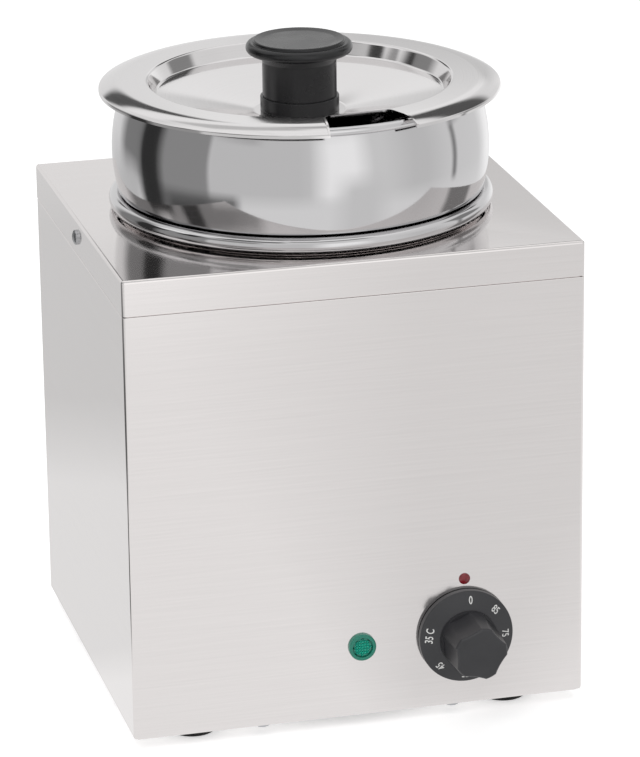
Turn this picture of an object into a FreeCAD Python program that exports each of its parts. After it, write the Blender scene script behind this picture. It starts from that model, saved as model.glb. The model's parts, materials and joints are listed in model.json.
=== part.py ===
import FreeCAD, Part
import math
import os
from FreeCAD import Vector

os.makedirs("parts", exist_ok=True)

# Chocolate bain-marie: a lidded pot that hangs in a heated water tank inside a square steel
# housing. Millimetres, +Z up, the front faces -Y, and the feet stand on Z = 0.

# Housing and cover
cover_width = 240.0
cover_depth = 222.0
housing_height = 246.0        # lower edge of the housing to the top of the cover
skirt_height = 18.5
cover_sheet = 1.0
cover_bend = 1.6              # outer bend radius round the cover's edges
skirt_gap = 0.3               # between the cover's skirt and the housing's edge behind it
seam_gap = 0.5                # under the skirt, where the flush housing starts
shoulder_edge = 0.4           # round on the housing's shoulder under the seam
cover_seat_gap = 0.1          # cover to the top edge of the housing
wall_sheet = 0.8
wall_bend = 1.6
flange_width = 14.0           # returns at the rear and the bottom of the wrap
base_sheet = 0.8
base_screw_spread = 0.45      # share of the way from the middle to the next flange
base_inset = 2.4              # from the housing's sides to the edge of the base plate
panel_inset = 2.2             # from the housing's sides to the edge of the rear panel
panel_step_gap = 0.4          # its stepped upper edge to the returns beside it

# Feet
foot_height = 6.4
foot_radius = 13.5
foot_taper = 1.5              # how much smaller the foot is where it stands
foot_edge = 1.2
foot_top_edge = 0.8
foot_well_gap = 0.6           # screw head to the well round it
foot_inset_x = 36.0           # from the sides of the cover to the feet
foot_inset_y = 24.0

# Collar, tank and rolled bead, measured from the top of the cover
collar_radius = 95.0
collar_rise = 6.6
collar_blend = 3.0
tank_gap = 0.7                # tank wall to the inside of the collar
tank_sheet = 0.8
bead_radius = 4.0
bead_rise = 5.0               # centre of the bead above the cover
bead_curl = 50.0              # degrees that the bead curls under its widest point
tank_depth = 150.0            # cover top to the tank's floor
tank_corner = 12.0

# Pot
pot_sheet = 1.0
pot_seat_gap = 0.3            # shoulder to bead, square to the shoulder
pot_wall_radius = 87.0
pot_belly_radius = 98.3
pot_belly_rise = 31.0
pot_belly_edge = 95.6         # radius where the belly turns in to the shoulder
pot_shoulder_bend = 5.0
pot_depth = 130.0             # cover top to the underside of the pot
pot_corner = 15.0
pot_rim_radius = 94.2         # centre of the rolled rim
pot_rim_rise = 62.7
pot_rim_bead = 2.2
pot_neck_share = 0.6          # of the roll's radius, below its centre, where the wall joins it

# Lid
lid_sheet = 1.0
lid_gap = 0.3                 # lid to the pot's rolled rim
lid_overhang = 10.1           # past the centre of the pot's rolled rim
lid_slope_drop = 3.0          # from the flat ring down to the outer edge
lid_slope_width = 13.3        # from the flat ring out to the edge
lid_ring_width = 12.0         # flat ring round the recess
lid_recess_drop = 7.5
lid_recess_draft = 4.0        # how far the recess wall leans in
lid_bowl_drop = 9.5           # from the foot of the recess wall to the flat seat
lid_seat_radius = 24.0
lid_bend = 1.8
lid_crease_bend = 2.0         # between the flat ring and the slope outside it
lid_edge_bend = 1.1
lid_edge_lip = 1.6            # turned-down edge

# Ladle notch in the lid
notch_angle = 7.0             # degrees from the front towards +X
notch_width = 47.0            # at the lid's edge
notch_inner_width = 35.0
notch_inner_step = 0.5        # from the recess out to the inner edge of the notch
notch_corner = 5.0
notch_lip = 1.0               # width of the raised lip round the notch
notch_lip_rise = 0.6

# Lid knob
knob_base_radius = 20.5
knob_base_height = 7.5
knob_neck_radius = 19.3
knob_neck_height = 26.0
knob_flare_width = 2.0        # neck to the underside of the cap
knob_flare_height = 4.0
knob_flare_bend = 2.0
knob_cap_radius = 27.7
knob_cap_height = 5.6         # rounded rim of the cap
knob_cap_bend = 2.7
knob_top_radius = 23.9        # raised top inside the rim
knob_top_rise = 1.6
knob_height = 37.6
knob_dish = 0.9
knob_rim_width = 5.0          # edge round the dish
knob_dish_bend = 6.0
knob_seat_gap = 0.1
knob_screw_radius = 3.0
knob_screw_length = 14.0
knob_screw_head_radius = 5.5
knob_screw_head = 3.0
knob_washer_radius = 9.0
knob_washer_sheet = 1.2

# Front panel: places from the centre of the front and from the housing's lower edge
dial_x = 56.0
dial_rise = 39.0
pilot_x = 1.0
pilot_rise = 38.0
marker_rise = 69.5

# Dial
dial_gap = 0.6                # panel to the back of the dial
dial_radius = 25.0
dial_rim = 3.4
dial_edge = 0.6
dial_skirt_rise = 3.0         # from the rim up to the foot of the grip
dial_wall = 1.6
grip_base_radius = 15.4
grip_tip_radius = 14.2
grip_length = 23.6
grip_lobes = 5
grip_turn = 13.0              # degrees that one lobe stands clockwise of the zero mark
flute_radius = 34.0
flute_depth = 1.9
flute_start = 2.5             # plain band above the skirt
grip_edge = 1.4
dial_cavity_radius = 21.0
dial_cavity_draft = 1.0
dial_boss_radius = 6.0

# Thermostat
shaft_radius = 3.0
shaft_flat = 0.8
shaft_in_dial = 16.0
shaft_in_body = 8.0
shaft_clearance = 0.05
bush_radius = 5.0
bush_length = 3.0
frame_width = 44.0
frame_height = 36.0
frame_sheet = 1.5
case_width = 40.0
case_height = 34.0
case_depth = 24.0
case_corner = 3.0
frame_screw_spacing = 28.0
blade_width = 6.3
blade_sheet = 0.8
blade_length = 9.0
capillary_radius = 0.8
capillary_bend = 4.0
capillary_dip = 3.5           # how far the tube passes under the heating ring
capillary_rise_y = 6.2        # from the bulb's end to where the tube comes up to it
bulb_radius = 3.0
bulb_length = 70.0
bulb_edge = 1.8
bulb_x = -32.0

# Pilot lamp and index marker
pilot_radius = 7.2
pilot_rim = 2.2
pilot_recess = 1.2
pilot_window_radius = 5.0
pilot_body_radius = 5.0
pilot_body_length = 22.0
pilot_blade_spacing = 5.0
pilot_blade_width = 2.8
pilot_nut_radius = 7.5
pilot_nut_length = 3.0
facet_pitch = 2.0
facet_depth = 0.7
facet_reach = 4.75            # radius of the window that the facets fill
marker_radius = 3.0
marker_rim = 0.3
marker_height = 0.9
marker_stem_radius = 1.5
marker_stem_length = 3.0

# Heater under the tank
ring_radius = 60.0
tube_radius = 4.0
ring_gap_angle = 40.0         # degrees left open for the two terminals
ring_gap_turn = 135.0         # where the gap lies, in degrees from +X
tube_bend = 10.0
tube_leg = 14.0
pin_radius = 2.0
pin_length = 12.0
heater_gap = 0.1
bar_width = 20.0
bar_length = 140.0
bar_sheet = 1.5
bar_stud_radius = 3.0
limiter_x = 30.0
limiter_radius = 8.0
limiter_height = 9.0
limiter_plate_width = 12.0
limiter_plate_length = 34.0
limiter_stud_spacing = 24.0
limiter_plate_sheet = 1.0
clip_width = 12.0
clip_sheet = 0.8
clip_flange = 9.0
small_stud_radius = 1.5

# Terminal block, earth stud and cable gland
block_inset = 58.0            # from the side of the cover to the middle of the block
block_y = 50.0
block_length = 34.0
block_width = 20.0
block_height = 16.0
block_wall = 1.4
block_end = 8.0               # solid end with a fixing hole in it
block_hole_inset = 4.0
block_head_seat = 1.0         # how deep the screw heads are sunk
block_entry_rise = 6.4
block_ways = 3
earth_inset = 90.0
earth_y = 78.0
earth_radius = 2.5
earth_length = 18.0
earth_nut_height = 4.0
earth_nut_spacing = 6.0
gland_inset = 50.0            # from the side of the cover to the gland
gland_rise = 34.0
gland_radius = 8.0
gland_flange_radius = 12.0
gland_flange = 5.0
gland_cap_radius = 11.0
gland_cap_length = 16.0
gland_cap_shoulder = 9.6      # straight part of the cap
gland_cap_round = 2.0
gland_cap_edge = 0.8
gland_cap_mouth = 1.5         # cable to the cap's mouth
gland_cap_face = 1.5
gland_cap_lip = 3.0
gland_flute_count = 12
gland_flute_radius = 1.6
gland_flute_out = 0.9         # flute's centre outside the cap
gland_neck = 7.0              # thread that shows between the flange and the cap
gland_inside = 11.0
gland_nut = 5.0
cable_radius = 4.0
cable_play = 1.0              # round the cable in the narrow part of the gland
seal_wall = 2.0
seal_length = 12.0
thread_clearance = 0.1

# Vents
vent_width = 4.0
vent_length = 36.0
vent_pitch = 9.0
vent_count = 6
vent_spacing = 54.0           # between the middles of the two columns at the rear

hair = 0.01                   # what two equal places may differ by
past = 1.0                    # how far a cut goes on beyond a surface

# Screws: thread radius, head radius, head height
hole_clearance = 0.2
head_clearance = 0.3
thread_gap = 0.05             # screw or stud to its nut or tapped hole
m4_radius = 2.0
m4_head_radius = 3.9
m4_head = 2.4
m4_length = 7.0
m4_nut_height = 3.2
frame_screw_length = 6.0
frame_screw_head_radius = 3.5
nut_across = 1.75             # nut radius over thread radius, to its flats
slot_width = 1.0
slot_depth = 1.2

# Places worked out from the sizes above
housing_bottom = foot_height + base_sheet
cover_top = housing_bottom + housing_height
half_width = cover_width / 2
half_depth = cover_depth / 2
step_in = cover_sheet + skirt_gap
dial_reach = dial_gap + dial_rim + dial_skirt_rise + grip_length
gland_reach = gland_flange + gland_neck + gland_cap_length
centre_y = (dial_reach - gland_reach) / 2
front = centre_y - half_depth
front_inside = front + wall_sheet
rear = centre_y + half_depth
wrap_rear = rear - base_sheet
cover_under = cover_top - cover_sheet
wall_top = cover_under - cover_seat_gap
shoulder_z = cover_top - skirt_height - seam_gap
axis = Vector(0, centre_y, 0)
up = Vector(0, 0, 1)
outwards = Vector(0, -1, 0)
inwards = Vector(0, 1, 0)
tank_radius = collar_radius - cover_sheet - tank_gap
bead_centre = tank_radius - tank_sheet + bead_radius
tank_floor = cover_top - tank_depth
tank_under = tank_floor - tank_sheet
dial_z = housing_bottom + dial_rise
pilot_z = housing_bottom + pilot_rise
marker_z = housing_bottom + marker_rise
gland_z = housing_bottom + gland_rise
lid_radius = pot_rim_radius + lid_overhang
lid_flat_radius = lid_radius - lid_slope_width
lid_recess_radius = lid_flat_radius - lid_ring_width
notch_inner_radius = lid_recess_radius + notch_inner_step
lid_slope = math.atan2(lid_slope_drop, lid_radius - lid_flat_radius)
lid_stand = pot_rim_bead + lid_gap + lid_sheet + (pot_rim_radius - lid_flat_radius) * math.sin(lid_slope)
lid_top = cover_top + pot_rim_rise + lid_stand / math.cos(lid_slope)
seat_top = lid_top - lid_recess_drop - lid_bowl_drop
screw_z = cover_top - skirt_height / 2
block_seat = block_height - m4_head - block_head_seat
gland_x = gland_inset - cover_width / 2
block_x = block_inset - cover_width / 2
earth_x = earth_inset - cover_width / 2


# Shape helpers


def block(x, y, z):
    """Box between two limits on each axis."""
    return Part.makeBox(x[1] - x[0], y[1] - y[0], z[1] - z[0], Vector(x[0], y[0], z[0]))


def rod(radius, length, start, direction):
    return Part.makeCylinder(radius, length, start, direction)


def line(start, end):
    return Part.makeLine(Vector(start[0], 0, start[1]), Vector(end[0], 0, end[1]))


def arc(start, middle, end):
    points = [Vector(p[0], 0, p[1]) for p in (start, middle, end)]
    return Part.Arc(*points).toShape()


def unit(a, b):
    length = math.dist(a, b)
    return ((b[0] - a[0]) / length, (b[1] - a[1]) / length)


def bent_edges(corners):
    """Lines through (radius, height, bend) corners, each bend a tangent arc."""
    edges = []
    here = corners[0][:2]
    for before, corner, after in zip(corners, corners[1:], corners[2:]):
        point = corner[:2]
        back = unit(point, before[:2])
        on = unit(point, after[:2])
        half = math.acos(max(-1.0, min(1.0, back[0] * on[0] + back[1] * on[1]))) / 2
        reach = corner[2] / math.tan(half)
        begin = (point[0] + back[0] * reach, point[1] + back[1] * reach)
        end = (point[0] + on[0] * reach, point[1] + on[1] * reach)
        edges.append(line(here, begin))
        if corner[2] > 0:
            inner = unit((0, 0), (back[0] + on[0], back[1] + on[1]))
            far = corner[2] / math.sin(half) - corner[2]
            edges.append(arc(begin, (point[0] + inner[0] * far, point[1] + inner[1] * far), end))
        here = end
    edges.append(line(here, corners[-1][:2]))
    return edges


def turned(edges):
    """Solid turned about the pot's upright axis from a closed outline of radius and height."""
    shape = Part.Face(Part.Wire(edges)).revolve(Vector(0, 0, 0), up, 360)
    return Part.Solid(shape).translated(axis)


def turned_outline(corners):
    return turned(bent_edges(corners + [corners[0]]))


def turned_sheet(edges, thickness):
    """Sheet of one thickness turned about the upright axis, from the line of one face."""
    section = Part.Wire(edges).makeOffset2D(thickness, 0, True, True)
    shape = section.Faces[0].revolve(Vector(0, 0, 0), up, 360)
    return Part.Solid(shape).translated(axis)


def facing(shape, seat, direction):
    """Shape made along +Z, set on its seat with +Z turned to a direction."""
    turn = FreeCAD.Rotation(up, direction)
    placed = shape.copy()
    placed.Placement = FreeCAD.Placement(seat, turn)
    return placed


def spun(corners):
    """Solid turned about Z at the origin, to be set in place by facing."""
    face = Part.Face(Part.Wire(bent_edges(corners + [corners[0]])))
    return Part.Solid(face.revolve(Vector(0, 0, 0), up, 360))


def domed_plug(stem_radius, stem_length, head_radius, rim, height):
    """Stem along -Z under a round head whose top is a shallow dome."""
    rise = height - rim
    sphere = (head_radius ** 2 + rise ** 2) / (2 * rise)
    middle = height - sphere + math.sqrt(sphere ** 2 - (head_radius / 2) ** 2)
    edges = [
        line((0, -stem_length), (stem_radius, -stem_length)),
        line((stem_radius, -stem_length), (stem_radius, 0)),
        line((stem_radius, 0), (head_radius, 0)),
        line((head_radius, 0), (head_radius, rim)),
        arc((head_radius, rim), (head_radius / 2, middle), (0, height)),
        line((0, height), (0, -stem_length)),
    ]
    return Part.Solid(Part.Face(Part.Wire(edges)).revolve(Vector(0, 0, 0), up, 360))


def pan_screw(radius, length, head_radius, head_height):
    """Slotted pan-head screw with its head on +Z and its seat at the origin."""
    screw = domed_plug(radius, length, head_radius, head_height * 0.5, head_height)
    reach = head_radius + 1
    slot = block((-reach, reach), (-slot_width / 2, slot_width / 2),
                 (head_height - slot_depth, head_height + past))
    return screw.cut(slot)


def hex_nut(radius, height):
    """Hexagon nut with its seat at the origin and its body on +Z."""
    across = radius * nut_across / math.cos(math.pi / 6)
    points = [Vector(across * math.cos(k * math.pi / 3), across * math.sin(k * math.pi / 3), 0)
              for k in range(7)]
    nut = Part.Face(Part.makePolygon(points)).extrude(Vector(0, 0, height))
    return nut.cut(rod(radius, height + 2, Vector(0, 0, -1), up))


def upright_slot(x, y, z, length, width, depth, direction):
    """Slot with round ends, its length along X, cut along a direction."""
    half = (length - width) / 2
    side = direction.cross(Vector(1, 0, 0)) * (width / 2)
    ends = [Vector(x - half, y, z), Vector(x + half, y, z)]
    outline = Part.makePolygon([ends[0] + side, ends[1] + side, ends[1] - side, ends[0] - side,
                                ends[0] + side])
    slot = Part.Face(outline).extrude(direction * depth)
    for end in ends:
        slot = slot.fuse(rod(width / 2, depth, end, direction))
    return slot


def tube_along(points, radius, bend):
    """Round tube through points, with straight runs joined by tangent bends."""
    pieces = []
    here = points[0]
    for before, point, after in zip(points, points[1:], points[2:]):
        back = (before - point).normalize()
        on = (after - point).normalize()
        half = back.getAngle(on) / 2
        reach = bend / math.tan(half)
        begin = point + back * reach
        if (begin - here).Length > hair:
            pieces.append(rod(radius, (begin - here).Length, here, begin - here))
        centre = point + (back + on).normalize() * (bend / math.sin(half))
        circle = Part.Face(Part.Wire(Part.Circle(begin, back, radius).toShape()))
        swing = (begin - centre).cross(back) * -1
        pieces.append(circle.revolve(centre, swing, math.degrees(math.pi - 2 * half)))
        here = point + on * reach
    pieces.append(rod(radius, (points[-1] - here).Length, here, points[-1] - here))
    return pieces[0].multiFuse(pieces[1:]) if len(pieces) > 1 else pieces[0]


def long_edges(shape, direction, test):
    """Straight edges along a direction whose middle passes a test."""
    found = []
    for edge in shape.Edges:
        run = edge.Vertexes[-1].Point - edge.Vertexes[0].Point
        if run.Length > 0 and abs(abs(run.normalize().dot(direction)) - 1) < 1e-6:
            if test(edge.CenterOfMass):
                found.append(edge)
    return found


def group(solids):
    return Part.makeCompound(solids)


# Places of what repeats


def foot_places():
    x = cover_width / 2 - foot_inset_x
    y = cover_depth / 2 - foot_inset_y
    return {
        "foot_front_left": Vector(-x, centre_y - y, housing_bottom),
        "foot_front_right": Vector(x, centre_y - y, housing_bottom),
        "foot_rear_left": Vector(-x, centre_y + y, housing_bottom),
        "foot_rear_right": Vector(x, centre_y + y, housing_bottom),
    }


def rear_screw_places():
    x = half_width - flange_width / 2
    low = housing_bottom + 3 * flange_width / 2
    high = cover_top - skirt_height - flange_width
    heights = (low, (low + high) / 2, high)
    return [Vector(side * x, rear, z) for side in (-1, 1) for z in heights]


def base_screw_places():
    x = half_width - flange_width / 2
    y = half_depth - flange_width / 2
    z = foot_height
    places = [Vector(side * x * base_screw_spread, centre_y - y, z) for side in (-1, 1)]
    for side in (-1, 1):
        for end in (-1, 1):
            places.append(Vector(side * x, centre_y + end * y * base_screw_spread, z))
    return places


def frame_screw_places():
    return [Vector(dial_x + side * frame_screw_spacing / 2, front, dial_z) for side in (-1, 1)]


def cover_screw_sides():
    return [Vector(side, 0, 0) for side in (-1, 1)]


def block_screw_places():
    half = block_length / 2 - block_hole_inset
    return [Vector(block_x + side * half, block_y, housing_bottom) for side in (-1, 1)]


# Housing


def housing_wrap():
    """Front and both sides in one folded sheet, with returns at the rear and the bottom.
    Its upper edge steps in behind the cover's skirt, so that skirt and sides are flush."""
    outer = folded_box(0, wrap_rear, (housing_bottom, shoulder_z), wall_bend)
    shoulder = [e for e in outer.Edges if min(v.Z for v in e.Vertexes) > shoulder_z - hair]
    outer = outer.makeFillet(shoulder_edge, shoulder)
    outer = outer.fuse(folded_box(step_in, rear - step_in, (housing_bottom, wall_top), wall_bend))
    step = step_in + wall_sheet
    fold = wall_bend - wall_sheet
    low = housing_bottom + wall_sheet
    inner = folded_box(wall_sheet, wrap_rear - wall_sheet, (low, shoulder_z - wall_sheet), fold)
    inner = inner.fuse(folded_box(step, rear - step, (low, wall_top), fold))
    wrap = outer.cut(inner)
    open_x = half_width - flange_width
    rear_window = block((-open_x, open_x), (wrap_rear - flange_width, wrap_rear + past),
                        (housing_bottom - past, wall_top + past))
    floor_window = block((-open_x, open_x), (front + flange_width, wrap_rear - wall_sheet - past),
                         (housing_bottom - past, housing_bottom + wall_bend + past))
    wrap = wrap.cut([rear_window, floor_window])
    hole = m4_radius + hole_clearance
    cuts = [rod(hole, 4 * wall_sheet, p + outwards * wall_sheet, inwards) for p in frame_screw_places()]
    cuts += [rod(m4_radius, 4 * wall_sheet, p + outwards * 3 * wall_sheet, inwards)
             for p in rear_screw_places()]
    cuts += [rod(m4_radius, 4 * wall_sheet, p, up) for p in base_screw_places()]
    cuts.append(rod(hole, cover_width, Vector(-cover_width / 2, centre_y, screw_z), Vector(1, 0, 0)))
    cuts.append(front_hole(dial_x, dial_z, bush_radius + hole_clearance))
    cuts.append(front_hole(pilot_x, pilot_z, pilot_body_radius + hole_clearance))
    cuts.append(front_hole(dial_x, marker_z, marker_stem_radius + thread_clearance))
    return wrap.cut(cuts)


def folded_box(inset, back, z, bend):
    """Box inside the housing's outline, rounded where the sheet is folded."""
    half = half_width - inset
    box = block((-half, half), (front + inset, back), z)
    edges = long_edges(box, up, lambda p: True)
    low = lambda p: p.z < z[0] + hair
    edges += long_edges(box, Vector(1, 0, 0), low) + long_edges(box, inwards, low)
    return box.makeFillet(bend, edges)


def front_hole(x, z, radius):
    return rod(radius, 4 * wall_sheet, Vector(x, front - wall_sheet, z), inwards)


def rear_panel():
    """Rear panel, flush with the skirt above it, with vents and the gland's hole. Its upper edge
    steps in behind the skirt, between the returns of the wrap."""
    half = half_width - panel_inset
    narrow = half_width - flange_width - panel_step_gap
    behind = rear - step_in
    plate = block((-half, half), (wrap_rear, rear), (housing_bottom + panel_inset, shoulder_z))
    ledge = block((-narrow, narrow), (behind - base_sheet, rear), (shoulder_z - base_sheet, shoulder_z))
    edge = block((-narrow, narrow), (behind - base_sheet, behind), (shoulder_z - base_sheet, wall_top))
    plate = plate.fuse([ledge, edge])
    hole = m4_radius + hole_clearance
    cuts = [rod(hole, 4 * wall_sheet, p + outwards * 3 * wall_sheet, inwards) for p in rear_screw_places()]
    cuts.append(rod(gland_radius + thread_clearance, 4 * wall_sheet,
                    Vector(gland_x, wrap_rear - wall_sheet, gland_z), inwards))
    for side in (-1, 1):
        for row in range(vent_count):
            z = cover_top - skirt_height - 2 * flange_width - row * vent_pitch
            cuts.append(upright_slot(side * vent_spacing / 2, wrap_rear - past, z,
                                     vent_length, vent_width, base_sheet + 2 * past, inwards))
    return plate.cut(cuts)


def rear_panel_screws():
    screw = pan_screw(m4_radius - thread_gap, m4_length, m4_head_radius, m4_head)
    return group([facing(screw, p, inwards) for p in rear_screw_places()])


def top_cover():
    """Pressed cover with a turned-down skirt and a raised collar round the tank."""
    half = cover_width / 2
    deep = cover_depth / 2
    low = cover_top - skirt_height
    outer = cover_block(half, deep, (low, cover_top), cover_bend)
    inner = cover_block(half - cover_sheet, deep - cover_sheet, (low - past, cover_under),
                        cover_bend - cover_sheet)
    blend_radius = collar_radius + collar_blend
    opening = rod(blend_radius, skirt_height, Vector(0, centre_y, low), up)
    plate = outer.cut([inner, opening])
    inside = collar_radius - cover_sheet
    lean = math.sqrt(0.5)
    edges = [
        line((blend_radius, cover_top), (blend_radius, cover_under)),
        arc((blend_radius, cover_under),
            (blend_radius - (collar_blend + cover_sheet) * lean,
             cover_top + collar_blend - (collar_blend + cover_sheet) * lean),
            (inside, cover_top + collar_blend)),
        line((inside, cover_top + collar_blend), (inside, cover_top + collar_rise)),
        line((inside, cover_top + collar_rise), (collar_radius, cover_top + collar_rise)),
        line((collar_radius, cover_top + collar_rise), (collar_radius, cover_top + collar_blend)),
        arc((collar_radius, cover_top + collar_blend),
            (blend_radius - collar_blend * lean, cover_top + collar_blend * (1 - lean)),
            (blend_radius, cover_top)),
    ]
    cover = plate.fuse(turned(edges))
    hole = rod(m4_radius + hole_clearance, cover_width + 2 * past,
               Vector(-half - past, centre_y, screw_z), Vector(1, 0, 0))
    return cover.cut(hole)


def cover_block(half, deep, z, bend):
    box = block((-half, half), (centre_y - deep, centre_y + deep), z)
    top = lambda p: p.z > z[1] - hair
    edges = long_edges(box, up, lambda p: True)
    edges += long_edges(box, Vector(1, 0, 0), top) + long_edges(box, inwards, top)
    return box.makeFillet(bend, edges)


def cover_screws():
    screw = pan_screw(m4_radius - thread_gap, m4_length, m4_head_radius, m4_head)
    seat = cover_width / 2
    return group([facing(screw, Vector(s.x * seat, centre_y, screw_z), s) for s in cover_screw_sides()])


def cover_nuts():
    nut = hex_nut(m4_radius, m4_nut_height)
    seat = half_width - step_in - wall_sheet
    return group([facing(nut, Vector(s.x * seat, centre_y, screw_z), s * -1) for s in cover_screw_sides()])


def base_plate():
    """Flat plate under the housing's bottom flanges, with foot holes and vents."""
    half = half_width - base_inset
    plate = block((-half, half), (front + base_inset, rear - base_inset), (foot_height, housing_bottom))
    hole = m4_radius + hole_clearance
    low = foot_height - past
    deep = base_sheet + 2 * past
    cuts = [rod(hole, deep, Vector(p.x, p.y, low), up) for p in foot_places().values()]
    cuts += [rod(hole, deep, Vector(p.x, p.y, low), up) for p in base_screw_places()]
    cuts += [rod(m4_radius, deep, Vector(p.x, p.y, low), up) for p in block_screw_places()]
    cuts.append(rod(earth_radius, deep, Vector(earth_x, earth_y, low), up))
    for row in range(vent_count):
        y = centre_y + (row - (vent_count - 1) / 2) * vent_pitch
        cuts.append(upright_slot(0, y, low, vent_length, vent_width, deep, up))
    return plate.cut(cuts)


def base_screws():
    screw = pan_screw(m4_radius - thread_gap, m4_length, m4_head_radius, m4_head)
    return group([facing(screw, p, up * -1) for p in base_screw_places()])


def foot(place):
    """Moulded rubber foot with a well for its screw."""
    seat = 2 * base_sheet
    well = m4_head_radius + foot_well_gap
    hole = m4_radius + hole_clearance
    corners = [
        (hole, 0, 0),
        (foot_radius, 0, foot_top_edge),
        (foot_radius - foot_taper, foot_height, foot_edge),
        (well, foot_height, 0),
        (well, seat, 0),
        (hole, seat, 0),
    ]
    return facing(spun(corners), Vector(place.x, place.y, foot_height), up * -1)


def foot_screws():
    screw = pan_screw(m4_radius - thread_gap, m4_length, m4_head_radius, m4_head)
    seat = foot_height - 2 * base_sheet
    return group([facing(screw, Vector(p.x, p.y, seat), up * -1) for p in foot_places().values()])


def foot_nuts():
    nut = hex_nut(m4_radius, m4_nut_height)
    return group([facing(nut, p, up) for p in foot_places().values()])


# Tank and heater


def water_tank():
    """Deep-drawn tank whose rolled bead hangs over the cover's collar."""
    wall = tank_radius - tank_sheet
    centre_z = cover_top + bead_rise
    inner_bead = bead_radius - tank_sheet
    curl = math.radians(bead_curl)
    tip = (math.cos(curl), -math.sin(curl))
    outer_tip = (bead_centre + bead_radius * tip[0], centre_z + bead_radius * tip[1])
    inner_tip = (bead_centre + inner_bead * tip[0], centre_z + inner_bead * tip[1])
    corners = [
        (tank_radius, centre_z, 0),
        (tank_radius, tank_under, tank_corner + tank_sheet),
        (0, tank_under, 0),
        (0, tank_floor, 0),
        (wall, tank_floor, tank_corner),
        (wall, centre_z, 0),
    ]
    edges = bent_edges(corners)
    edges.append(arc((wall, centre_z), (bead_centre, centre_z + bead_radius), outer_tip))
    edges.append(line(outer_tip, inner_tip))
    edges.append(arc(inner_tip, (bead_centre, centre_z + inner_bead), (tank_radius, centre_z)))
    return turned(edges)


def heating_element():
    """Open ring of sheathed tube whose two ends turn down to their terminal pins."""
    z = tank_under - heater_gap - tube_radius
    half_gap = math.radians(ring_gap_angle / 2)
    ends = []
    for side in (-1, 1):
        turn = math.radians(ring_gap_turn) + side * half_gap
        start = Vector(ring_radius * math.cos(turn), centre_y + ring_radius * math.sin(turn), z)
        along = Vector(math.sin(turn), -math.cos(turn), 0) * side
        corner = start + along * tube_bend
        low = corner - up * (tube_bend + tube_leg)
        ends.append(tube_along([start, corner, low], tube_radius, tube_bend))
        ends.append(rod(pin_radius, pin_length, low, up * -1))
    first = ring_gap_turn + ring_gap_angle / 2
    circle = Part.Circle(Vector(ring_radius, 0, z), Vector(0, 1, 0), tube_radius).toShape()
    ring = Part.Face(Part.Wire(circle)).revolve(Vector(0, 0, 0), up, 360 - ring_gap_angle)
    ring.rotate(Vector(0, 0, 0), up, first)
    return ring.translated(axis).multiFuse(ends)


def heater_clamp_bar():
    """Flat bar that presses the ring up against the tank."""
    z = tank_under - heater_gap - 2 * tube_radius - bar_sheet
    half = bar_length / 2
    bar = block((-bar_width / 2, bar_width / 2), (centre_y - half, centre_y + half), (z, z + bar_sheet))
    bar = bar.makeFillet(bar_width / 2 - 0.5, long_edges(bar, up, lambda p: True))
    return bar.cut(rod(bar_stud_radius + hole_clearance, 4, Vector(0, centre_y, z - 1), up))


def stud_places():
    """Place, radius and length of each stud welded under the tank, and what it holds."""
    reach = limiter_stud_spacing / 2
    clip_reach = clip_stud_reach()
    small = small_stud_radius
    places = [(0, 0, bar_stud_radius, heater_gap + 2 * tube_radius + bar_sheet)]
    places += [(limiter_x, side * reach, small, limiter_plate_sheet) for side in (-1, 1)]
    places += [(bulb_x + side * clip_reach, 0, small, clip_sheet) for side in (-1, 1)]
    return places


def clip_stud_reach():
    return bulb_radius + clip_sheet + hole_clearance + clip_flange / 2


def tank_studs():
    studs = []
    for x, y, radius, grip in stud_places():
        length = grip + radius * 3.2
        studs.append(rod(radius - thread_gap, length, Vector(x, centre_y + y, tank_under - length), up))
    return group(studs)


def tank_nuts():
    nuts = []
    for x, y, radius, grip in stud_places():
        seat = Vector(x, centre_y + y, tank_under - grip)
        nuts.append(facing(hex_nut(radius, radius * 1.6), seat, up * -1))
    return group(nuts)


def safety_limiter():
    """Snap-action disc cut-out on a plate, flat against the tank, with two blades."""
    half_x = limiter_plate_width / 2
    half_y = limiter_plate_length / 2
    plate = block((limiter_x - half_x, limiter_x + half_x), (centre_y - half_y, centre_y + half_y),
                  (tank_under - limiter_plate_sheet, tank_under))
    plate = plate.makeFillet(half_x - 0.5, long_edges(plate, up, lambda p: True))
    base = Vector(limiter_x, centre_y, tank_under - limiter_height)
    cup = rod(limiter_radius, limiter_height, base, up)
    reach = limiter_stud_spacing / 2
    hole = small_stud_radius + hole_clearance
    holes = [rod(hole, 4, Vector(limiter_x, centre_y + s * reach, tank_under - 2), up)
             for s in (-1, 1)]
    blades = [block((limiter_x + s * 4 - blade_sheet / 2, limiter_x + s * 4 + blade_sheet / 2),
                    (centre_y - blade_width / 2, centre_y + blade_width / 2),
                    (base.z - blade_length, base.z)) for s in (-1, 1)]
    return plate.fuse(cup).cut(holes).multiFuse(blades)


def sensing_bulb():
    """Thermostat bulb that lies along the underside of the tank."""
    z = tank_under - heater_gap - bulb_radius
    bulb = rod(bulb_radius, bulb_length, Vector(bulb_x, centre_y - bulb_length / 2, z), inwards)
    ends = [edge for edge in bulb.Edges if len(edge.Vertexes) == 1]
    return bulb.makeFillet(bulb_edge, ends)


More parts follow.
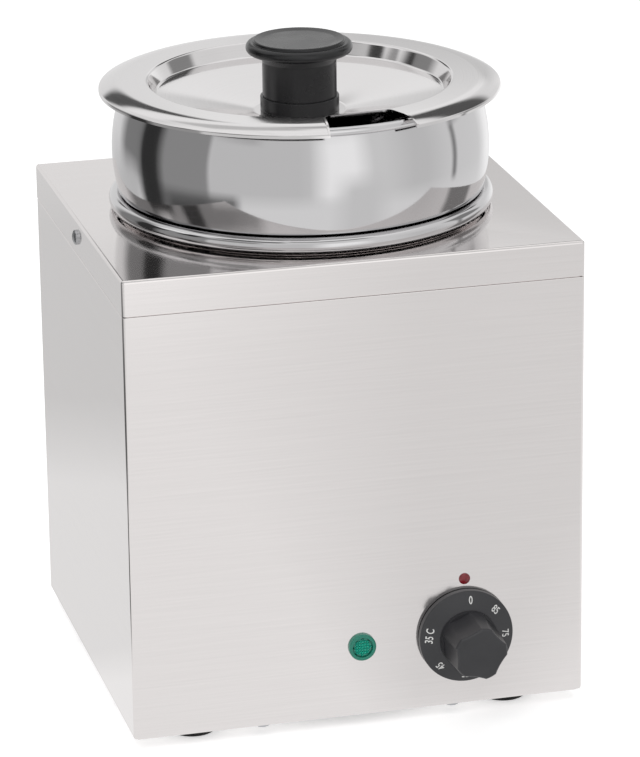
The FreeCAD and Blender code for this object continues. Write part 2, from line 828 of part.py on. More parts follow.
def bulb_clip():
    """Strap bent over the bulb and held by two studs."""
    inner = bulb_radius + hole_clearance / 2
    outer = inner + clip_sheet
    z = tank_under - heater_gap - bulb_radius
    low = tank_under - clip_sheet
    wide = outer + clip_flange
    y = (centre_y - clip_width / 2, centre_y + clip_width / 2)
    flange = block((bulb_x - wide, bulb_x + wide), y, (low, tank_under))
    sides = block((bulb_x - outer, bulb_x + outer), y, (z, tank_under))
    start = Vector(bulb_x, y[0], z)
    clip = flange.fuse([sides, rod(outer, clip_width, start, inwards)])
    cuts = [
        rod(inner, clip_width, start, inwards),
        block((bulb_x - inner, bulb_x + inner), y, (z, tank_under)),
        block((bulb_x - wide, bulb_x + wide), y, (tank_under, tank_under + outer)),
    ]
    for side in (-1, 1):
        place = Vector(bulb_x + side * clip_stud_reach(), centre_y, low - 1)
        cuts.append(rod(small_stud_radius + hole_clearance, 4, place, up))
    return clip.cut(cuts)


def capillary_tube():
    """Thin tube from the thermostat's case to the end of the bulb."""
    bulb_z = tank_under - heater_gap - bulb_radius
    start = Vector(dial_x - case_width / 4, front_inside + frame_sheet + case_depth / 2,
                   dial_z + case_height / 2)
    end = Vector(bulb_x, centre_y - bulb_length / 2, bulb_z)
    low = tank_under - heater_gap - 2 * tube_radius - capillary_dip
    rise_y = end.y - capillary_rise_y
    points = [
        start,
        Vector(start.x, start.y, low),
        Vector(end.x, start.y, low),
        Vector(end.x, rise_y, low),
        Vector(end.x, rise_y, bulb_z),
        end,
    ]
    return tube_along(points, capillary_radius, capillary_bend)


# Thermostat and dial


def thermostat_frame():
    """Steel front frame with the bush that carries the shaft."""
    half_x = frame_width / 2
    half_z = frame_height / 2
    plate = block((dial_x - half_x, dial_x + half_x), (front_inside, front_inside + frame_sheet),
                  (dial_z - half_z, dial_z + half_z))
    plate = plate.makeFillet(case_corner, long_edges(plate, inwards, lambda p: True))
    nose = rod(bush_radius, bush_length, Vector(dial_x, front_inside - bush_length, dial_z), inwards)
    cuts = [rod(shaft_radius + shaft_clearance, 4 * bush_length,
                Vector(dial_x, front_inside - 2 * bush_length, dial_z), inwards)]
    cuts += [rod(m4_radius, 4 * wall_sheet + frame_sheet, p, inwards) for p in frame_screw_places()]
    return plate.fuse(nose).cut(cuts)


def thermostat_body():
    """Moulded switch case behind the frame."""
    back = front_inside + frame_sheet
    half_x = case_width / 2
    half_z = case_height / 2
    case = block((dial_x - half_x, dial_x + half_x), (back, back + case_depth),
                 (dial_z - half_z, dial_z + half_z))
    case = case.makeFillet(case_corner, long_edges(case, inwards, lambda p: True))
    bore = rod(shaft_radius + shaft_clearance, shaft_in_body + 0.5, Vector(dial_x, back, dial_z), inwards)
    wells = [rod(m4_radius + hole_clearance, m4_length, p + inwards * wall_sheet, inwards)
             for p in frame_screw_places()]
    return case.cut([bore] + wells)


def thermostat_terminals():
    back = front_inside + frame_sheet + case_depth
    blades = []
    for side in (-1, 1):
        x = dial_x + side * case_width / 4
        blades.append(block((x - blade_width / 2, x + blade_width / 2), (back, back + blade_length),
                            (dial_z - blade_sheet / 2, dial_z + blade_sheet / 2)))
    return group(blades)


def thermostat_screws():
    screw = pan_screw(m4_radius - thread_gap, frame_screw_length, frame_screw_head_radius, m4_head)
    return group([facing(screw, p, outwards) for p in frame_screw_places()])


def thermostat_shaft():
    """Flatted shaft that turns in the frame's bush and carries the dial."""
    inner = front_inside + frame_sheet + shaft_in_body
    outer = front - dial_gap - shaft_in_dial
    shaft = rod(shaft_radius, inner - outer, Vector(dial_x, outer, dial_z), inwards)
    low = dial_z - shaft_radius - 1
    flat = block((dial_x - shaft_radius - past, dial_x + shaft_radius + past),
                 (outer - past, front - bush_length), (low, low + past + shaft_flat))
    return shaft.cut(flat)


def dial_knob():
    """Moulded dial: a numbered skirt and a lobed grip, hollow behind for the screw heads."""
    skirt = dial_gap + dial_rim + dial_skirt_rise
    tip = skirt + grip_length
    flutes = []
    lean = math.degrees(math.atan2(grip_base_radius - grip_tip_radius, grip_length))
    for lobe in range(grip_lobes):
        cutter = rod(flute_radius, 2 * grip_length, Vector(0, 0, skirt + flute_start), up)
        cutter.translate(Vector(grip_base_radius - flute_depth + flute_radius, 0, 0))
        cutter.rotate(Vector(grip_base_radius - flute_depth, 0, skirt + flute_start), Vector(0, 1, 0), -lean)
        cutter.rotate(Vector(0, 0, 0), up, 90 - grip_turn + (lobe + 0.5) * 360 / grip_lobes)
        flutes.append(cutter)
    grip = spun([
        (0, skirt - past, 0),
        (grip_base_radius, skirt - past, 0),
        (grip_tip_radius, tip, 0),
        (0, tip, 0),
    ])
    grip = grip.cut(flutes)
    grip = grip.makeFillet(grip_edge, [e for e in grip.Edges if min(v.Z for v in e.Vertexes) > tip - hair])
    inner = dial_cavity_radius
    boss_end = bush_length - wall_sheet + dial_gap
    skirt_body = spun([
        (dial_boss_radius, boss_end, 0),
        (dial_boss_radius, skirt - dial_wall, 0),
        (inner, skirt - dial_wall - dial_skirt_rise / 2, 0),
        (inner + dial_cavity_draft, dial_gap, 0),
        (dial_radius, dial_gap, 0),
        (dial_radius, dial_gap + dial_rim, dial_edge),
        (grip_base_radius, skirt, 0),
        (0, skirt, 0),
        (0, boss_end, 0),
    ])
    knob = skirt_body.fuse(grip)
    bore = rod(shaft_radius + shaft_clearance, shaft_in_dial + 0.2, Vector(0, 0, dial_gap), up)
    key_low = -shaft_radius - past
    key_high = key_low + past + shaft_flat - shaft_clearance
    key = block((-shaft_radius - past, shaft_radius + past), (key_low, key_high),
                (dial_gap + bush_length, dial_gap + shaft_in_dial + past))
    knob = knob.cut(bore.cut(key))
    return set_on_front(knob, dial_x, dial_z)


def set_on_front(shape, x, z):
    """Shape made along +Z from the origin, set on the front with its own +Y upwards."""
    placed = shape.copy()
    turn = FreeCAD.Rotation(Vector(1, 0, 0), 90)
    placed.Placement = FreeCAD.Placement(Vector(x, front, z), turn)
    return placed


# Pilot lamp and marker


def pilot_lamp_lens():
    """Green lens: a round raised rim with a faceted window sunk in it."""
    floor = pilot_rim - pilot_recess
    lens = spun([
        (0, 0, 0),
        (pilot_radius, 0, 0),
        (pilot_radius, pilot_rim, 0.8),
        (pilot_window_radius + 0.4, pilot_rim, 0.3),
        (pilot_window_radius, floor, 0),
        (0, floor, 0),
    ])
    return set_on_front(lens.cut(facet_grooves(floor)), pilot_x, pilot_z)


def facet_grooves(height):
    """Two crossed sets of V grooves that leave rows of small pyramids."""
    reach = facet_reach
    count = int(2 * reach / facet_pitch)
    grooves = []
    for row in range(count + 1):
        offset = (row - count / 2) * facet_pitch
        half = math.sqrt(max(reach ** 2 - offset ** 2, 0))
        if half < facet_pitch:
            continue
        points = [Vector(-half, offset - facet_depth, height + hair),
                  Vector(-half, offset, height - facet_depth),
                  Vector(-half, offset + facet_depth, height + hair)]
        face = Part.Face(Part.makePolygon(points + [points[0]]))
        groove = face.extrude(Vector(2 * half, 0, 0))
        grooves.append(groove)
        crossed = groove.copy()
        crossed.rotate(Vector(0, 0, 0), up, 90)
        grooves.append(crossed)
    return grooves


def pilot_lamp_body():
    """Lamp holder that passes through the front, with its two blades behind."""
    holder = rod(pilot_body_radius, pilot_body_length, Vector(pilot_x, front, pilot_z), inwards)
    back = front + pilot_body_length
    high = (pilot_z - pilot_blade_width / 2, pilot_z + pilot_blade_width / 2)
    blades = []
    for side in (-1, 1):
        x = pilot_x + side * pilot_blade_spacing / 2
        blades.append(block((x - blade_sheet / 2, x + blade_sheet / 2), (back, back + blade_length), high))
    return holder.multiFuse(blades)


def pilot_lamp_nut():
    nut = rod(pilot_nut_radius, pilot_nut_length, Vector(pilot_x, front_inside, pilot_z), inwards)
    return nut.cut(rod(pilot_body_radius + thread_clearance, pilot_nut_length + 2 * past,
                       Vector(pilot_x, front_inside - past, pilot_z), inwards))


def index_marker():
    """Small domed red plug that marks the setting above the dial."""
    plug = domed_plug(marker_stem_radius, marker_stem_length, marker_radius, marker_rim, marker_height)
    return set_on_front(plug, dial_x, marker_z)


# Wiring parts


def terminal_block():
    """Three-way block on the base plate, with a wire entry on both sides of each way."""
    half_x = block_length / 2
    half_y = block_width / 2
    body = block((block_x - half_x, block_x + half_x), (block_y - half_y, block_y + half_y),
                 (housing_bottom, housing_bottom + block_height))
    pitch = (block_length - 2 * block_end) / block_ways
    hole = m4_radius + hole_clearance
    cuts = [rod(hole, block_height + 2 * past, p - up * past, up) for p in block_screw_places()]
    cuts += [rod(m4_head_radius + head_clearance, block_height, p + up * block_seat, up)
             for p in block_screw_places()]
    for way in range(block_ways):
        x = block_x + (way - (block_ways - 1) / 2) * pitch
        cuts.append(rod(pitch / 2 - block_wall / 2, block_width + 2 * past,
                        Vector(x, block_y - half_y - past, housing_bottom + block_entry_rise), inwards))
    return body.cut(cuts)


def terminal_block_screws():
    seat = up * block_seat
    screw = pan_screw(m4_radius - thread_gap, block_seat + base_sheet, m4_head_radius, m4_head)
    return group([facing(screw, p + seat, up) for p in block_screw_places()])


def earth_stud():
    return rod(earth_radius - thread_gap, earth_length, Vector(earth_x, earth_y, foot_height), up)


def earth_nuts():
    nut = hex_nut(earth_radius, earth_nut_height)
    seats = (housing_bottom, housing_bottom + earth_nut_spacing)
    return group([facing(nut, Vector(earth_x, earth_y, z), up) for z in seats])


def along_gland(start, length, radius):
    return rod(radius, length, Vector(gland_x, rear + start, gland_z), inwards)


def hex_prism(start, length, flats):
    """Hexagon about the gland's axis, measured across its flats."""
    across = flats / math.cos(math.pi / 6)
    points = [Vector(across * math.cos(k * math.pi / 3), across * math.sin(k * math.pi / 3), 0)
              for k in range(7)]
    prism = Part.Face(Part.makePolygon(points)).extrude(Vector(0, 0, length))
    return facing(prism, Vector(gland_x, rear + start, gland_z), inwards)


def cable_gland_body():
    """Threaded gland body that passes through the rear panel."""
    bore = cable_radius + seal_wall + thread_clearance
    outside = gland_flange + gland_neck + seal_length / 2
    body = hex_prism(0, gland_flange, gland_flange_radius)
    body = body.fuse(along_gland(-gland_inside, gland_inside + outside, gland_radius))
    seat = outside - seal_length
    narrow = along_gland(-gland_inside - past, gland_inside + 2 * past + seat, cable_radius + cable_play)
    wide = along_gland(seat, seal_length + past, bore)
    return body.cut([narrow, wide])


def cable_gland_nut():
    nut = hex_prism(-base_sheet - gland_nut, gland_nut, gland_flange_radius)
    hole = gland_radius + thread_clearance
    return nut.cut(along_gland(-base_sheet - gland_nut - past, gland_nut + 2 * past, hole))


def cable_gland_seal():
    """Rubber sleeve that grips the cable."""
    start = gland_flange + gland_neck - seal_length / 2
    seal = along_gland(start, seal_length, cable_radius + seal_wall)
    return seal.cut(along_gland(start - past, seal_length + 2 * past, cable_radius))


def cable_gland_cap():
    """Domed cap with gripping flutes, screwed over the neck of the gland."""
    outer = gland_cap_radius
    mouth = cable_radius + gland_cap_mouth
    corners = [
        (gland_radius + thread_clearance, 0, 0),
        (outer, 0, gland_cap_edge),
        (outer, gland_cap_shoulder, gland_cap_round),
        (mouth + gland_cap_face, gland_cap_length, gland_cap_edge),
        (mouth, gland_cap_length, 0),
        (mouth, gland_cap_length - gland_cap_lip, 0),
        (gland_radius + thread_clearance, gland_cap_shoulder, 0),
    ]
    cap = spun(corners)
    flutes = []
    away = outer + gland_flute_out
    for step in range(gland_flute_count):
        turn = 2 * math.pi * step / gland_flute_count
        place = Vector(away * math.cos(turn), away * math.sin(turn), -1)
        flutes.append(rod(gland_flute_radius, gland_cap_shoulder, place, up))
    return facing(cap.cut(flutes), Vector(gland_x, rear + gland_flange + gland_neck, gland_z), inwards)


# Pot and lid


def pot():
    """Drawn pot with a rolled rim, a full belly and a shoulder that sits on the bead."""
    lean = math.sqrt(0.5)
    touch = bead_radius + pot_seat_gap
    seat = (bead_centre - touch * lean, cover_top + bead_rise + touch * lean)
    drop = seat[0] - pot_wall_radius
    corner_rise = pot_belly_edge - seat[0]
    belly_low = (pot_belly_edge, seat[1] + corner_rise)
    rim = (pot_rim_radius, cover_top + pot_rim_rise)
    neck = (pot_rim_radius - pot_rim_bead + pot_sheet, rim[1] - pot_rim_bead * pot_neck_share)
    bottom = cover_top - pot_depth
    edges = [arc(neck, (pot_belly_radius, cover_top + pot_belly_rise), belly_low)]
    edges += bent_edges([
        belly_low + (0,),
        (pot_wall_radius, seat[1] - drop, pot_shoulder_bend),
        (pot_wall_radius, bottom, pot_corner),
        (0, bottom, 0),
    ])
    shell = turned_sheet(edges, -pot_sheet)
    roll = Part.makeTorus(rim[0], pot_rim_bead, Vector(0, centre_y, rim[1]), up)
    return shell.fuse(roll)


def lid_corners():
    """Corners of the lid's top face, from its turned-down edge to the centre."""
    edge_z = lid_top - lid_slope_drop
    recess_foot = lid_recess_radius - lid_recess_draft
    return [
        (lid_radius, edge_z - lid_edge_lip, 0),
        (lid_radius, edge_z, lid_edge_bend),
        (lid_flat_radius, lid_top, lid_crease_bend),
        (lid_recess_radius, lid_top, lid_bend),
        (recess_foot, lid_top - lid_recess_drop, lid_bend),
        (lid_seat_radius, seat_top, 8.0),
        (0, seat_top, 0),
    ]


def notch_outline(grow):
    """Plan of the ladle notch, grown by an amount, on the lid's centre line towards +X."""
    outer = lid_radius + 6
    wide = notch_width / 2 + grow
    slim = notch_inner_width / 2 + grow
    inner = notch_inner_radius - grow
    corners = [
        (outer, -wide - 2, 0),
        (outer, wide + 2, 0),
        (lid_radius - 2, wide, notch_corner - grow),
        (inner, slim, notch_corner + grow),
        (inner, -slim, notch_corner + grow),
        (lid_radius - 2, -wide, notch_corner - grow),
    ]
    edges = bent_edges(corners + [corners[0]])
    face = Part.Face(Part.Wire(edges))
    face.rotate(Vector(0, 0, 0), Vector(1, 0, 0), -90)
    return face


def notch_prism(grow):
    """Upright prism over the ladle notch."""
    low = seat_top
    prism = notch_outline(grow).extrude(Vector(0, 0, lid_top + lid_bowl_drop - low))
    prism.rotate(Vector(0, 0, 0), up, -90 + notch_angle)
    return prism.translated(Vector(0, centre_y, low))


def lid():
    """Pressed lid with a sunk centre and a ladle notch with a small raised lip."""
    sheet = turned_sheet(bent_edges(lid_corners()), lid_sheet)
    raised = turned_sheet(bent_edges(lid_corners()[1:]), -notch_lip_rise)
    lip = raised.common(notch_prism(notch_lip).cut(notch_prism(0)))
    lid_shape = sheet.cut(notch_prism(0)).fuse(lip)
    hole = rod(knob_screw_radius + hole_clearance, 4, Vector(0, centre_y, seat_top - 2), up)
    return lid_shape.cut(hole)


def lid_knob():
    """Moulded knob with a straight neck and a wide, slightly dished cap."""
    z = seat_top + knob_seat_gap
    top = z + knob_height
    rim_top = top - knob_top_rise
    rim_low = z + knob_neck_height + knob_flare_height
    corners = [
        (0, top - knob_dish, 0),
        (knob_top_radius - knob_rim_width, top - knob_dish, knob_dish_bend),
        (knob_top_radius, top, 0.8),
        (knob_top_radius, rim_top, 0.4),
        (knob_cap_radius, rim_top, knob_cap_bend),
        (knob_cap_radius, rim_top - knob_cap_height, knob_cap_bend),
        (knob_neck_radius + knob_flare_width, rim_low, 0.6),
        (knob_neck_radius, z + knob_neck_height, knob_flare_bend),
        (knob_neck_radius, z + knob_base_height, 0),
        (knob_base_radius, z + knob_base_height, 0.5),
        (knob_base_radius, z, 0),
        (0, z, 0),
    ]
    knob = turned_outline(corners)
    return knob.cut(rod(knob_screw_radius, knob_screw_length, Vector(0, centre_y, z - 1), up))


def lid_knob_washer():
    under = seat_top - lid_sheet
    start = Vector(0, centre_y, under - knob_washer_sheet)
    washer = rod(knob_washer_radius, knob_washer_sheet, start, up)
    return washer.cut(rod(knob_screw_radius + hole_clearance, 4, start - up, up))


def lid_knob_screw():
    seat = seat_top - lid_sheet - knob_washer_sheet
    screw = pan_screw(knob_screw_radius - thread_gap, knob_screw_length, knob_screw_head_radius,
                      knob_screw_head)
    return facing(screw, Vector(0, centre_y, seat), up * -1)


# Every piece, by the name of its file

pieces = {
    "housing_wrap": housing_wrap(),
    "rear_panel": rear_panel(),
    "rear_panel_screws": rear_panel_screws(),
    "top_cover": top_cover(),
    "cover_screws": cover_screws(),
    "cover_nuts": cover_nuts(),
    "base_plate": base_plate(),
    "base_screws": base_screws(),
    "foot_screws": foot_screws(),
    "foot_nuts": foot_nuts(),
    "water_tank": water_tank(),
    "heating_element": heating_element(),
    "heater_clamp_bar": heater_clamp_bar(),
    "tank_studs": tank_studs(),
    "tank_nuts": tank_nuts(),
    "safety_limiter": safety_limiter(),
    "sensing_bulb": sensing_bulb(),
    "bulb_clip": bulb_clip(),
    "capillary_tube": capillary_tube(),
    "thermostat_frame": thermostat_frame(),
    "thermostat_body": thermostat_body(),
    "thermostat_terminals": thermostat_terminals(),
    "thermostat_screws": thermostat_screws(),
    "thermostat_shaft": thermostat_shaft(),
    "dial_knob": dial_knob(),
    "pilot_lamp_lens": pilot_lamp_lens(),
    "pilot_lamp_body": pilot_lamp_body(),
    "pilot_lamp_nut": pilot_lamp_nut(),
    "index_marker": index_marker(),
    "terminal_block": terminal_block(),
    "terminal_block_screws": terminal_block_screws(),
    "earth_stud": earth_stud(),
    "earth_nuts": earth_nuts(),
    "cable_gland_body": cable_gland_body(),
    "cable_gland_nut": cable_gland_nut(),
    "cable_gland_seal": cable_gland_seal(),
    "cable_gland_cap": cable_gland_cap(),
    "pot": pot(),
    "lid": lid(),
    "lid_knob": lid_knob(),
    "lid_knob_washer": lid_knob_washer(),
    "lid_knob_screw": lid_knob_screw(),
}
for foot_name, foot_place in foot_places().items():
    pieces[foot_name] = foot(foot_place)

for name, shape in pieces.items():
    shape.exportStep("parts/" + name + ".step")
    print(name, len(shape.Solids), "valid" if shape.isValid() else "NOT VALID", round(shape.Volume / 1000, 2))
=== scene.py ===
import bmesh
import bpy
import json
import math
from mathutils import Matrix, Vector

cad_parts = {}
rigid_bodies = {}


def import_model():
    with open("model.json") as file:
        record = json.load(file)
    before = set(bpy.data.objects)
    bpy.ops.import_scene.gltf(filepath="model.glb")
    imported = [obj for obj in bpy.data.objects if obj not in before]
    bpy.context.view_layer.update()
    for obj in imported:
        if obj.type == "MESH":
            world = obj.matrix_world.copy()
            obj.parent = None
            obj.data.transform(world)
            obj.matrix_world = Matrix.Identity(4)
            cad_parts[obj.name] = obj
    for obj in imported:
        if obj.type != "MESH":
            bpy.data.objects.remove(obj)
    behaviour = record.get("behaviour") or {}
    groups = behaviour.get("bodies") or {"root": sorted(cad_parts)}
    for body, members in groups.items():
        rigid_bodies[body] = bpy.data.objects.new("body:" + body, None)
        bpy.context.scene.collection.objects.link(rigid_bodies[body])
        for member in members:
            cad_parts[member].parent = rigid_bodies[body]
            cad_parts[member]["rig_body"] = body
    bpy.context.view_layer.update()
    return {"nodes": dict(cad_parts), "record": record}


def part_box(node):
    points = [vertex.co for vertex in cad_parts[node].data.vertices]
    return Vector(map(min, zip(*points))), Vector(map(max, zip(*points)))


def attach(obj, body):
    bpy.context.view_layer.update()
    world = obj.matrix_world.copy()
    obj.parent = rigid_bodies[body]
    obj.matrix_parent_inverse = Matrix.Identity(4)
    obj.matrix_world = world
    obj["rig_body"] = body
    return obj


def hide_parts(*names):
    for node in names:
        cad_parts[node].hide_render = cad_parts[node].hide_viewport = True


# A chocolate bain-marie on a white studio floor: a brushed steel housing with a dial and a pilot
# lamp, and a polished pot with a satin lid that hangs in its water tank. +Z is up and the front
# faces -Y. Sizes of the object are written in millimetres and turned to metres by MM.

MM = 0.001
SAME_POINT = 0.001 * MM      # corners of a turned or cut shape that are closer than this are one
SAME_CORNER = 0.002 * MM     # the same for the loose triangles of a CAD node

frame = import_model()
scene = bpy.context.scene

# Places that the frame gives

pot_low, pot_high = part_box("pot")
lens_low, lens_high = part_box("pilot_lamp_lens")
axis = Vector(((pot_low.x + pot_high.x) / 2, (pot_low.y + pot_high.y) / 2, 0))
lens_middle = Vector(((lens_low.x + lens_high.x) / 2, lens_high.y, (lens_low.z + lens_high.z) / 2))


# Colours and nodes


def linear(colour):
    """Linear colour of an sRGB hex value."""
    parts = [int(colour[i:i + 2], 16) / 255 for i in (1, 3, 5)]
    return tuple(c / 12.92 if c <= 0.04045 else ((c + 0.055) / 1.055) ** 2.4 for c in parts) + (1,)


def add(tree, kind, inputs=(), stops=(), **settings):
    """Adds a node with its settings, links and, for a colour ramp, its (position, colour) stops.

    An input is a value, a socket, a node for its first output, or a list of sockets and nodes.
    """
    node = tree.nodes.new(kind)
    for name, value in settings.items():
        setattr(node, name, value)
    for name, value in dict(inputs).items():
        for one in value if isinstance(value, list) else [value]:
            if isinstance(one, bpy.types.Node):
                one = one.outputs[0]
            if isinstance(one, bpy.types.NodeSocket):
                tree.links.new(one, node.inputs[name])
            else:
                node.inputs[name].default_value = one
    if stops:
        elements = node.color_ramp.elements
        while len(elements) < len(stops):
            elements.new(1.0)
        for element, (position, colour) in zip(elements, stops):
            element.position = position
            element.color = linear(colour)
    return node


def new_material(name):
    """Material with its own tree and the object's coordinates, which a pattern is placed by."""
    material = bpy.data.materials.new(name)
    material.use_nodes = True
    tree = material.node_tree
    tree.nodes.clear()
    place = add(tree, "ShaderNodeTexCoord").outputs["Object"]
    return material, tree, place


def close_material(tree, shader):
    """Ends a material's tree with its shader."""
    add(tree, "ShaderNodeOutputMaterial", {"Surface": shader})


def waves_per_metre(spacing):
    """Noise scale at which one wave is about a spacing in millimetres long."""
    return 1 / (spacing * MM)


def streaks(tree, place, along, across):
    """Noise drawn out along X and Y and fine along Z on upright faces, fine along Y on level ones."""
    long = waves_per_metre(along)
    fine = waves_per_metre(across)
    level_from = 0.7
    upright = add(tree, "ShaderNodeMapping", {"Vector": place, "Scale": (long, long, fine)})
    level = add(tree, "ShaderNodeMapping", {"Vector": place, "Scale": (long, fine, long)})
    geometry = add(tree, "ShaderNodeNewGeometry")
    normal = add(tree, "ShaderNodeSeparateXYZ", {"Vector": geometry.outputs["Normal"]})
    steep = add(tree, "ShaderNodeMath", {0: normal.outputs["Z"]}, operation="ABSOLUTE")
    lying = add(tree, "ShaderNodeMath", {0: steep, 1: level_from}, operation="GREATER_THAN")
    # A mix has a pair of inputs for each kind of value: 2 and 3 for numbers, 4 and 5 for vectors
    vector = add(tree, "ShaderNodeMix", {0: lying, 4: upright, 5: level}, data_type="VECTOR").outputs[1]
    return add(tree, "ShaderNodeTexNoise", {"Vector": vector, "Scale": 1.0, "Detail": 4.0})


# Materials. Spacings and depths of their patterns are real sizes in millimetres.


def brushed_sheet():
    """Stainless sheet, belt-brushed to satin: a grain too fine to show one by one.

    The grain is drawn coarser than the real 0.05 mm, so that it still shows as faint level lines.
    The eye gets a pale, even sheet in which reflections are soft.
    """
    grain_length = 60
    grain_spacing = 0.9
    cloud_size = 90
    material, tree, place = new_material("brushed_stainless_sheet")
    grain = streaks(tree, place, grain_length, grain_spacing)
    cloud = add(tree, "ShaderNodeTexNoise", {
        "Vector": place, "Scale": waves_per_metre(cloud_size), "Detail": 2.0})
    tone = add(tree, "ShaderNodeValToRGB", {"Fac": grain}, [(0.25, "#E4E0DF"), (0.75, "#E8E4E3")])
    rough = add(tree, "ShaderNodeMapRange", {
        "Value": cloud, "From Min": 0.3, "From Max": 0.7, "To Min": 0.09, "To Max": 0.12})
    bump = add(tree, "ShaderNodeBump", {"Height": grain, "Strength": 0.03, "Distance": 0.02 * MM})
    shader = add(tree, "ShaderNodeBsdfPrincipled", {
        "Base Color": tone, "Metallic": 1.0, "Roughness": rough, "Normal": bump})
    close_material(tree, shader)
    return material


def polished_steel():
    """Drawn stainless, polished on a lathe: clear reflections, a little blurred by faint lines.

    The lines run level round the wall and are drawn coarser than the real ones, to show at all.
    """
    line_length = 125
    line_spacing = 0.8
    cloud_size = 25
    long = waves_per_metre(line_length)
    fine = waves_per_metre(line_spacing)
    material, tree, place = new_material("polished_drawn_stainless")
    lines = add(tree, "ShaderNodeMapping", {"Vector": place, "Scale": (long, long, fine)})
    turned_lines = add(tree, "ShaderNodeTexNoise", {"Vector": lines, "Scale": 1.0, "Detail": 3.0})
    cloud = add(tree, "ShaderNodeTexNoise", {
        "Vector": place, "Scale": waves_per_metre(cloud_size), "Detail": 3.0})
    rough = add(tree, "ShaderNodeMapRange", {
        "Value": cloud, "From Min": 0.35, "From Max": 0.65, "To Min": 0.05, "To Max": 0.1})
    bump = add(tree, "ShaderNodeBump", {"Height": turned_lines, "Strength": 0.04, "Distance": 0.02 * MM})
    shader = add(tree, "ShaderNodeBsdfPrincipled", {
        "Base Color": linear("#D0CFD0"), "Metallic": 1.0, "Roughness": rough, "Normal": bump})
    close_material(tree, shader)
    return material


def spun_lid_steel():
    """Stainless lid sheet, finished on a lathe: nearly a mirror, with faint rings round its middle."""
    ring_spacing = 0.7
    material, tree, place = new_material("spun_satin_stainless")
    about = add(tree, "ShaderNodeVectorMath", {0: place, 1: axis}, operation="SUBTRACT")
    flat = add(tree, "ShaderNodeVectorMath", {0: about, 1: (1, 1, 0)}, operation="MULTIPLY")
    radius = add(tree, "ShaderNodeVectorMath", {0: flat}, operation="LENGTH")
    rings = add(tree, "ShaderNodeTexNoise", {
        "W": radius.outputs["Value"], "Scale": waves_per_metre(ring_spacing), "Detail": 3.0},
        noise_dimensions="1D")
    tone = add(tree, "ShaderNodeValToRGB", {"Fac": rings}, [(0.3, "#DCDADA"), (0.7, "#E0DEDE")])
    rough = add(tree, "ShaderNodeMapRange", {
        "Value": rings, "From Min": 0.3, "From Max": 0.7, "To Min": 0.07, "To Max": 0.1})
    bump = add(tree, "ShaderNodeBump", {"Height": rings, "Strength": 0.02, "Distance": 0.02 * MM})
    shader = add(tree, "ShaderNodeBsdfPrincipled", {
        "Base Color": tone, "Metallic": 1.0, "Roughness": rough, "Normal": bump})
    close_material(tree, shader)
    return material


def moulded(name, low, high, roughness, grain, depth, ior=1.5):
    """Moulded plastic or rubber: one colour between two tones, a fine grain and uneven gloss."""
    cloud_size = 18
    spread = 0.04
    material, tree, place = new_material(name)
    skin = add(tree, "ShaderNodeTexNoise", {"Vector": place, "Scale": waves_per_metre(grain), "Detail": 4.0})
    cloud = add(tree, "ShaderNodeTexNoise", {
        "Vector": place, "Scale": waves_per_metre(cloud_size), "Detail": 2.0})
    tone = add(tree, "ShaderNodeValToRGB", {"Fac": cloud}, [(0.3, low), (0.7, high)])
    rough = add(tree, "ShaderNodeMapRange", {
        "Value": cloud, "From Min": 0.3, "From Max": 0.7,
        "To Min": roughness - spread, "To Max": roughness + spread})
    bump = add(tree, "ShaderNodeBump", {"Height": skin, "Strength": 0.25, "Distance": depth * MM})
    shader = add(tree, "ShaderNodeBsdfPrincipled", {
        "Base Color": tone, "Roughness": rough, "IOR": ior, "Normal": bump})
    close_material(tree, shader)
    return material


def plain_metal(name, low, high, roughness, mottling):
    """Plain metal part, plated, drawn or dulled by heat: mottled between two tones."""
    spread = 0.06
    material, tree, place = new_material(name)
    mottle = add(tree, "ShaderNodeTexNoise", {
        "Vector": place, "Scale": waves_per_metre(mottling), "Detail": 5.0})
    tone = add(tree, "ShaderNodeValToRGB", {"Fac": mottle}, [(0.3, low), (0.7, high)])
    rough = add(tree, "ShaderNodeMapRange", {
        "Value": mottle, "From Min": 0.3, "From Max": 0.7,
        "To Min": roughness - spread, "To Max": roughness + spread})
    bump = add(tree, "ShaderNodeBump", {"Height": mottle, "Strength": 0.1, "Distance": 0.05 * MM})
    shader = add(tree, "ShaderNodeBsdfPrincipled", {
        "Base Color": tone, "Metallic": 1.0, "Roughness": rough, "Normal": bump})
    close_material(tree, shader)
    return material


def lens_plastic():
    """Green polycarbonate, moulded clear, with painted light over the facets and painted shade where they
    meet the rim.
    """
    facets_end = 3.5 * MM
    rim = 7.2 * MM
    material, tree, place = new_material("green_polycarbonate_lens_painted_light_and_shade")
    away = add(tree, "ShaderNodeVectorMath", {0: place, 1: lens_middle}, operation="DISTANCE")
    outwards = add(tree, "ShaderNodeMapRange", {
        "Value": away.outputs["Value"], "From Min": facets_end, "From Max": rim})
    # Painted light and shade: brightest over the facets, a painted shade ring where the dish meets the rim,
    # lighter again on the rim.
    tone = add(tree, "ShaderNodeValToRGB", {"Fac": outwards}, [
        (0.0, "#0EC0A4"), (0.3, "#0CAE94"), (0.45, "#07604F"), (0.62, "#0A9A80"), (1.0, "#0A8F77")])
    shader = add(tree, "ShaderNodeBsdfPrincipled", {
        "Base Color": tone, "Roughness": 0.25, "IOR": 1.58, "Transmission Weight": 0.25})
    close_material(tree, shader)
    return material


def marker_plastic():
    """Red acrylic plug, moulded and glossy: deep red with small specks of a lighter one."""
    speck_size = 1.5
    material, tree, place = new_material("red_moulded_marker")
    speck = add(tree, "ShaderNodeTexNoise", {
        "Vector": place, "Scale": waves_per_metre(speck_size), "Detail": 2.0})
    tone = add(tree, "ShaderNodeValToRGB", {"Fac": speck}, [(0.3, "#6E121B"), (0.7, "#8C1C26")])
    shader = add(tree, "ShaderNodeBsdfPrincipled", {
        "Base Color": tone, "Roughness": 0.18, "IOR": 1.49, "Coat Weight": 0.3, "Coat Roughness": 0.1})
    close_material(tree, shader)
    return material


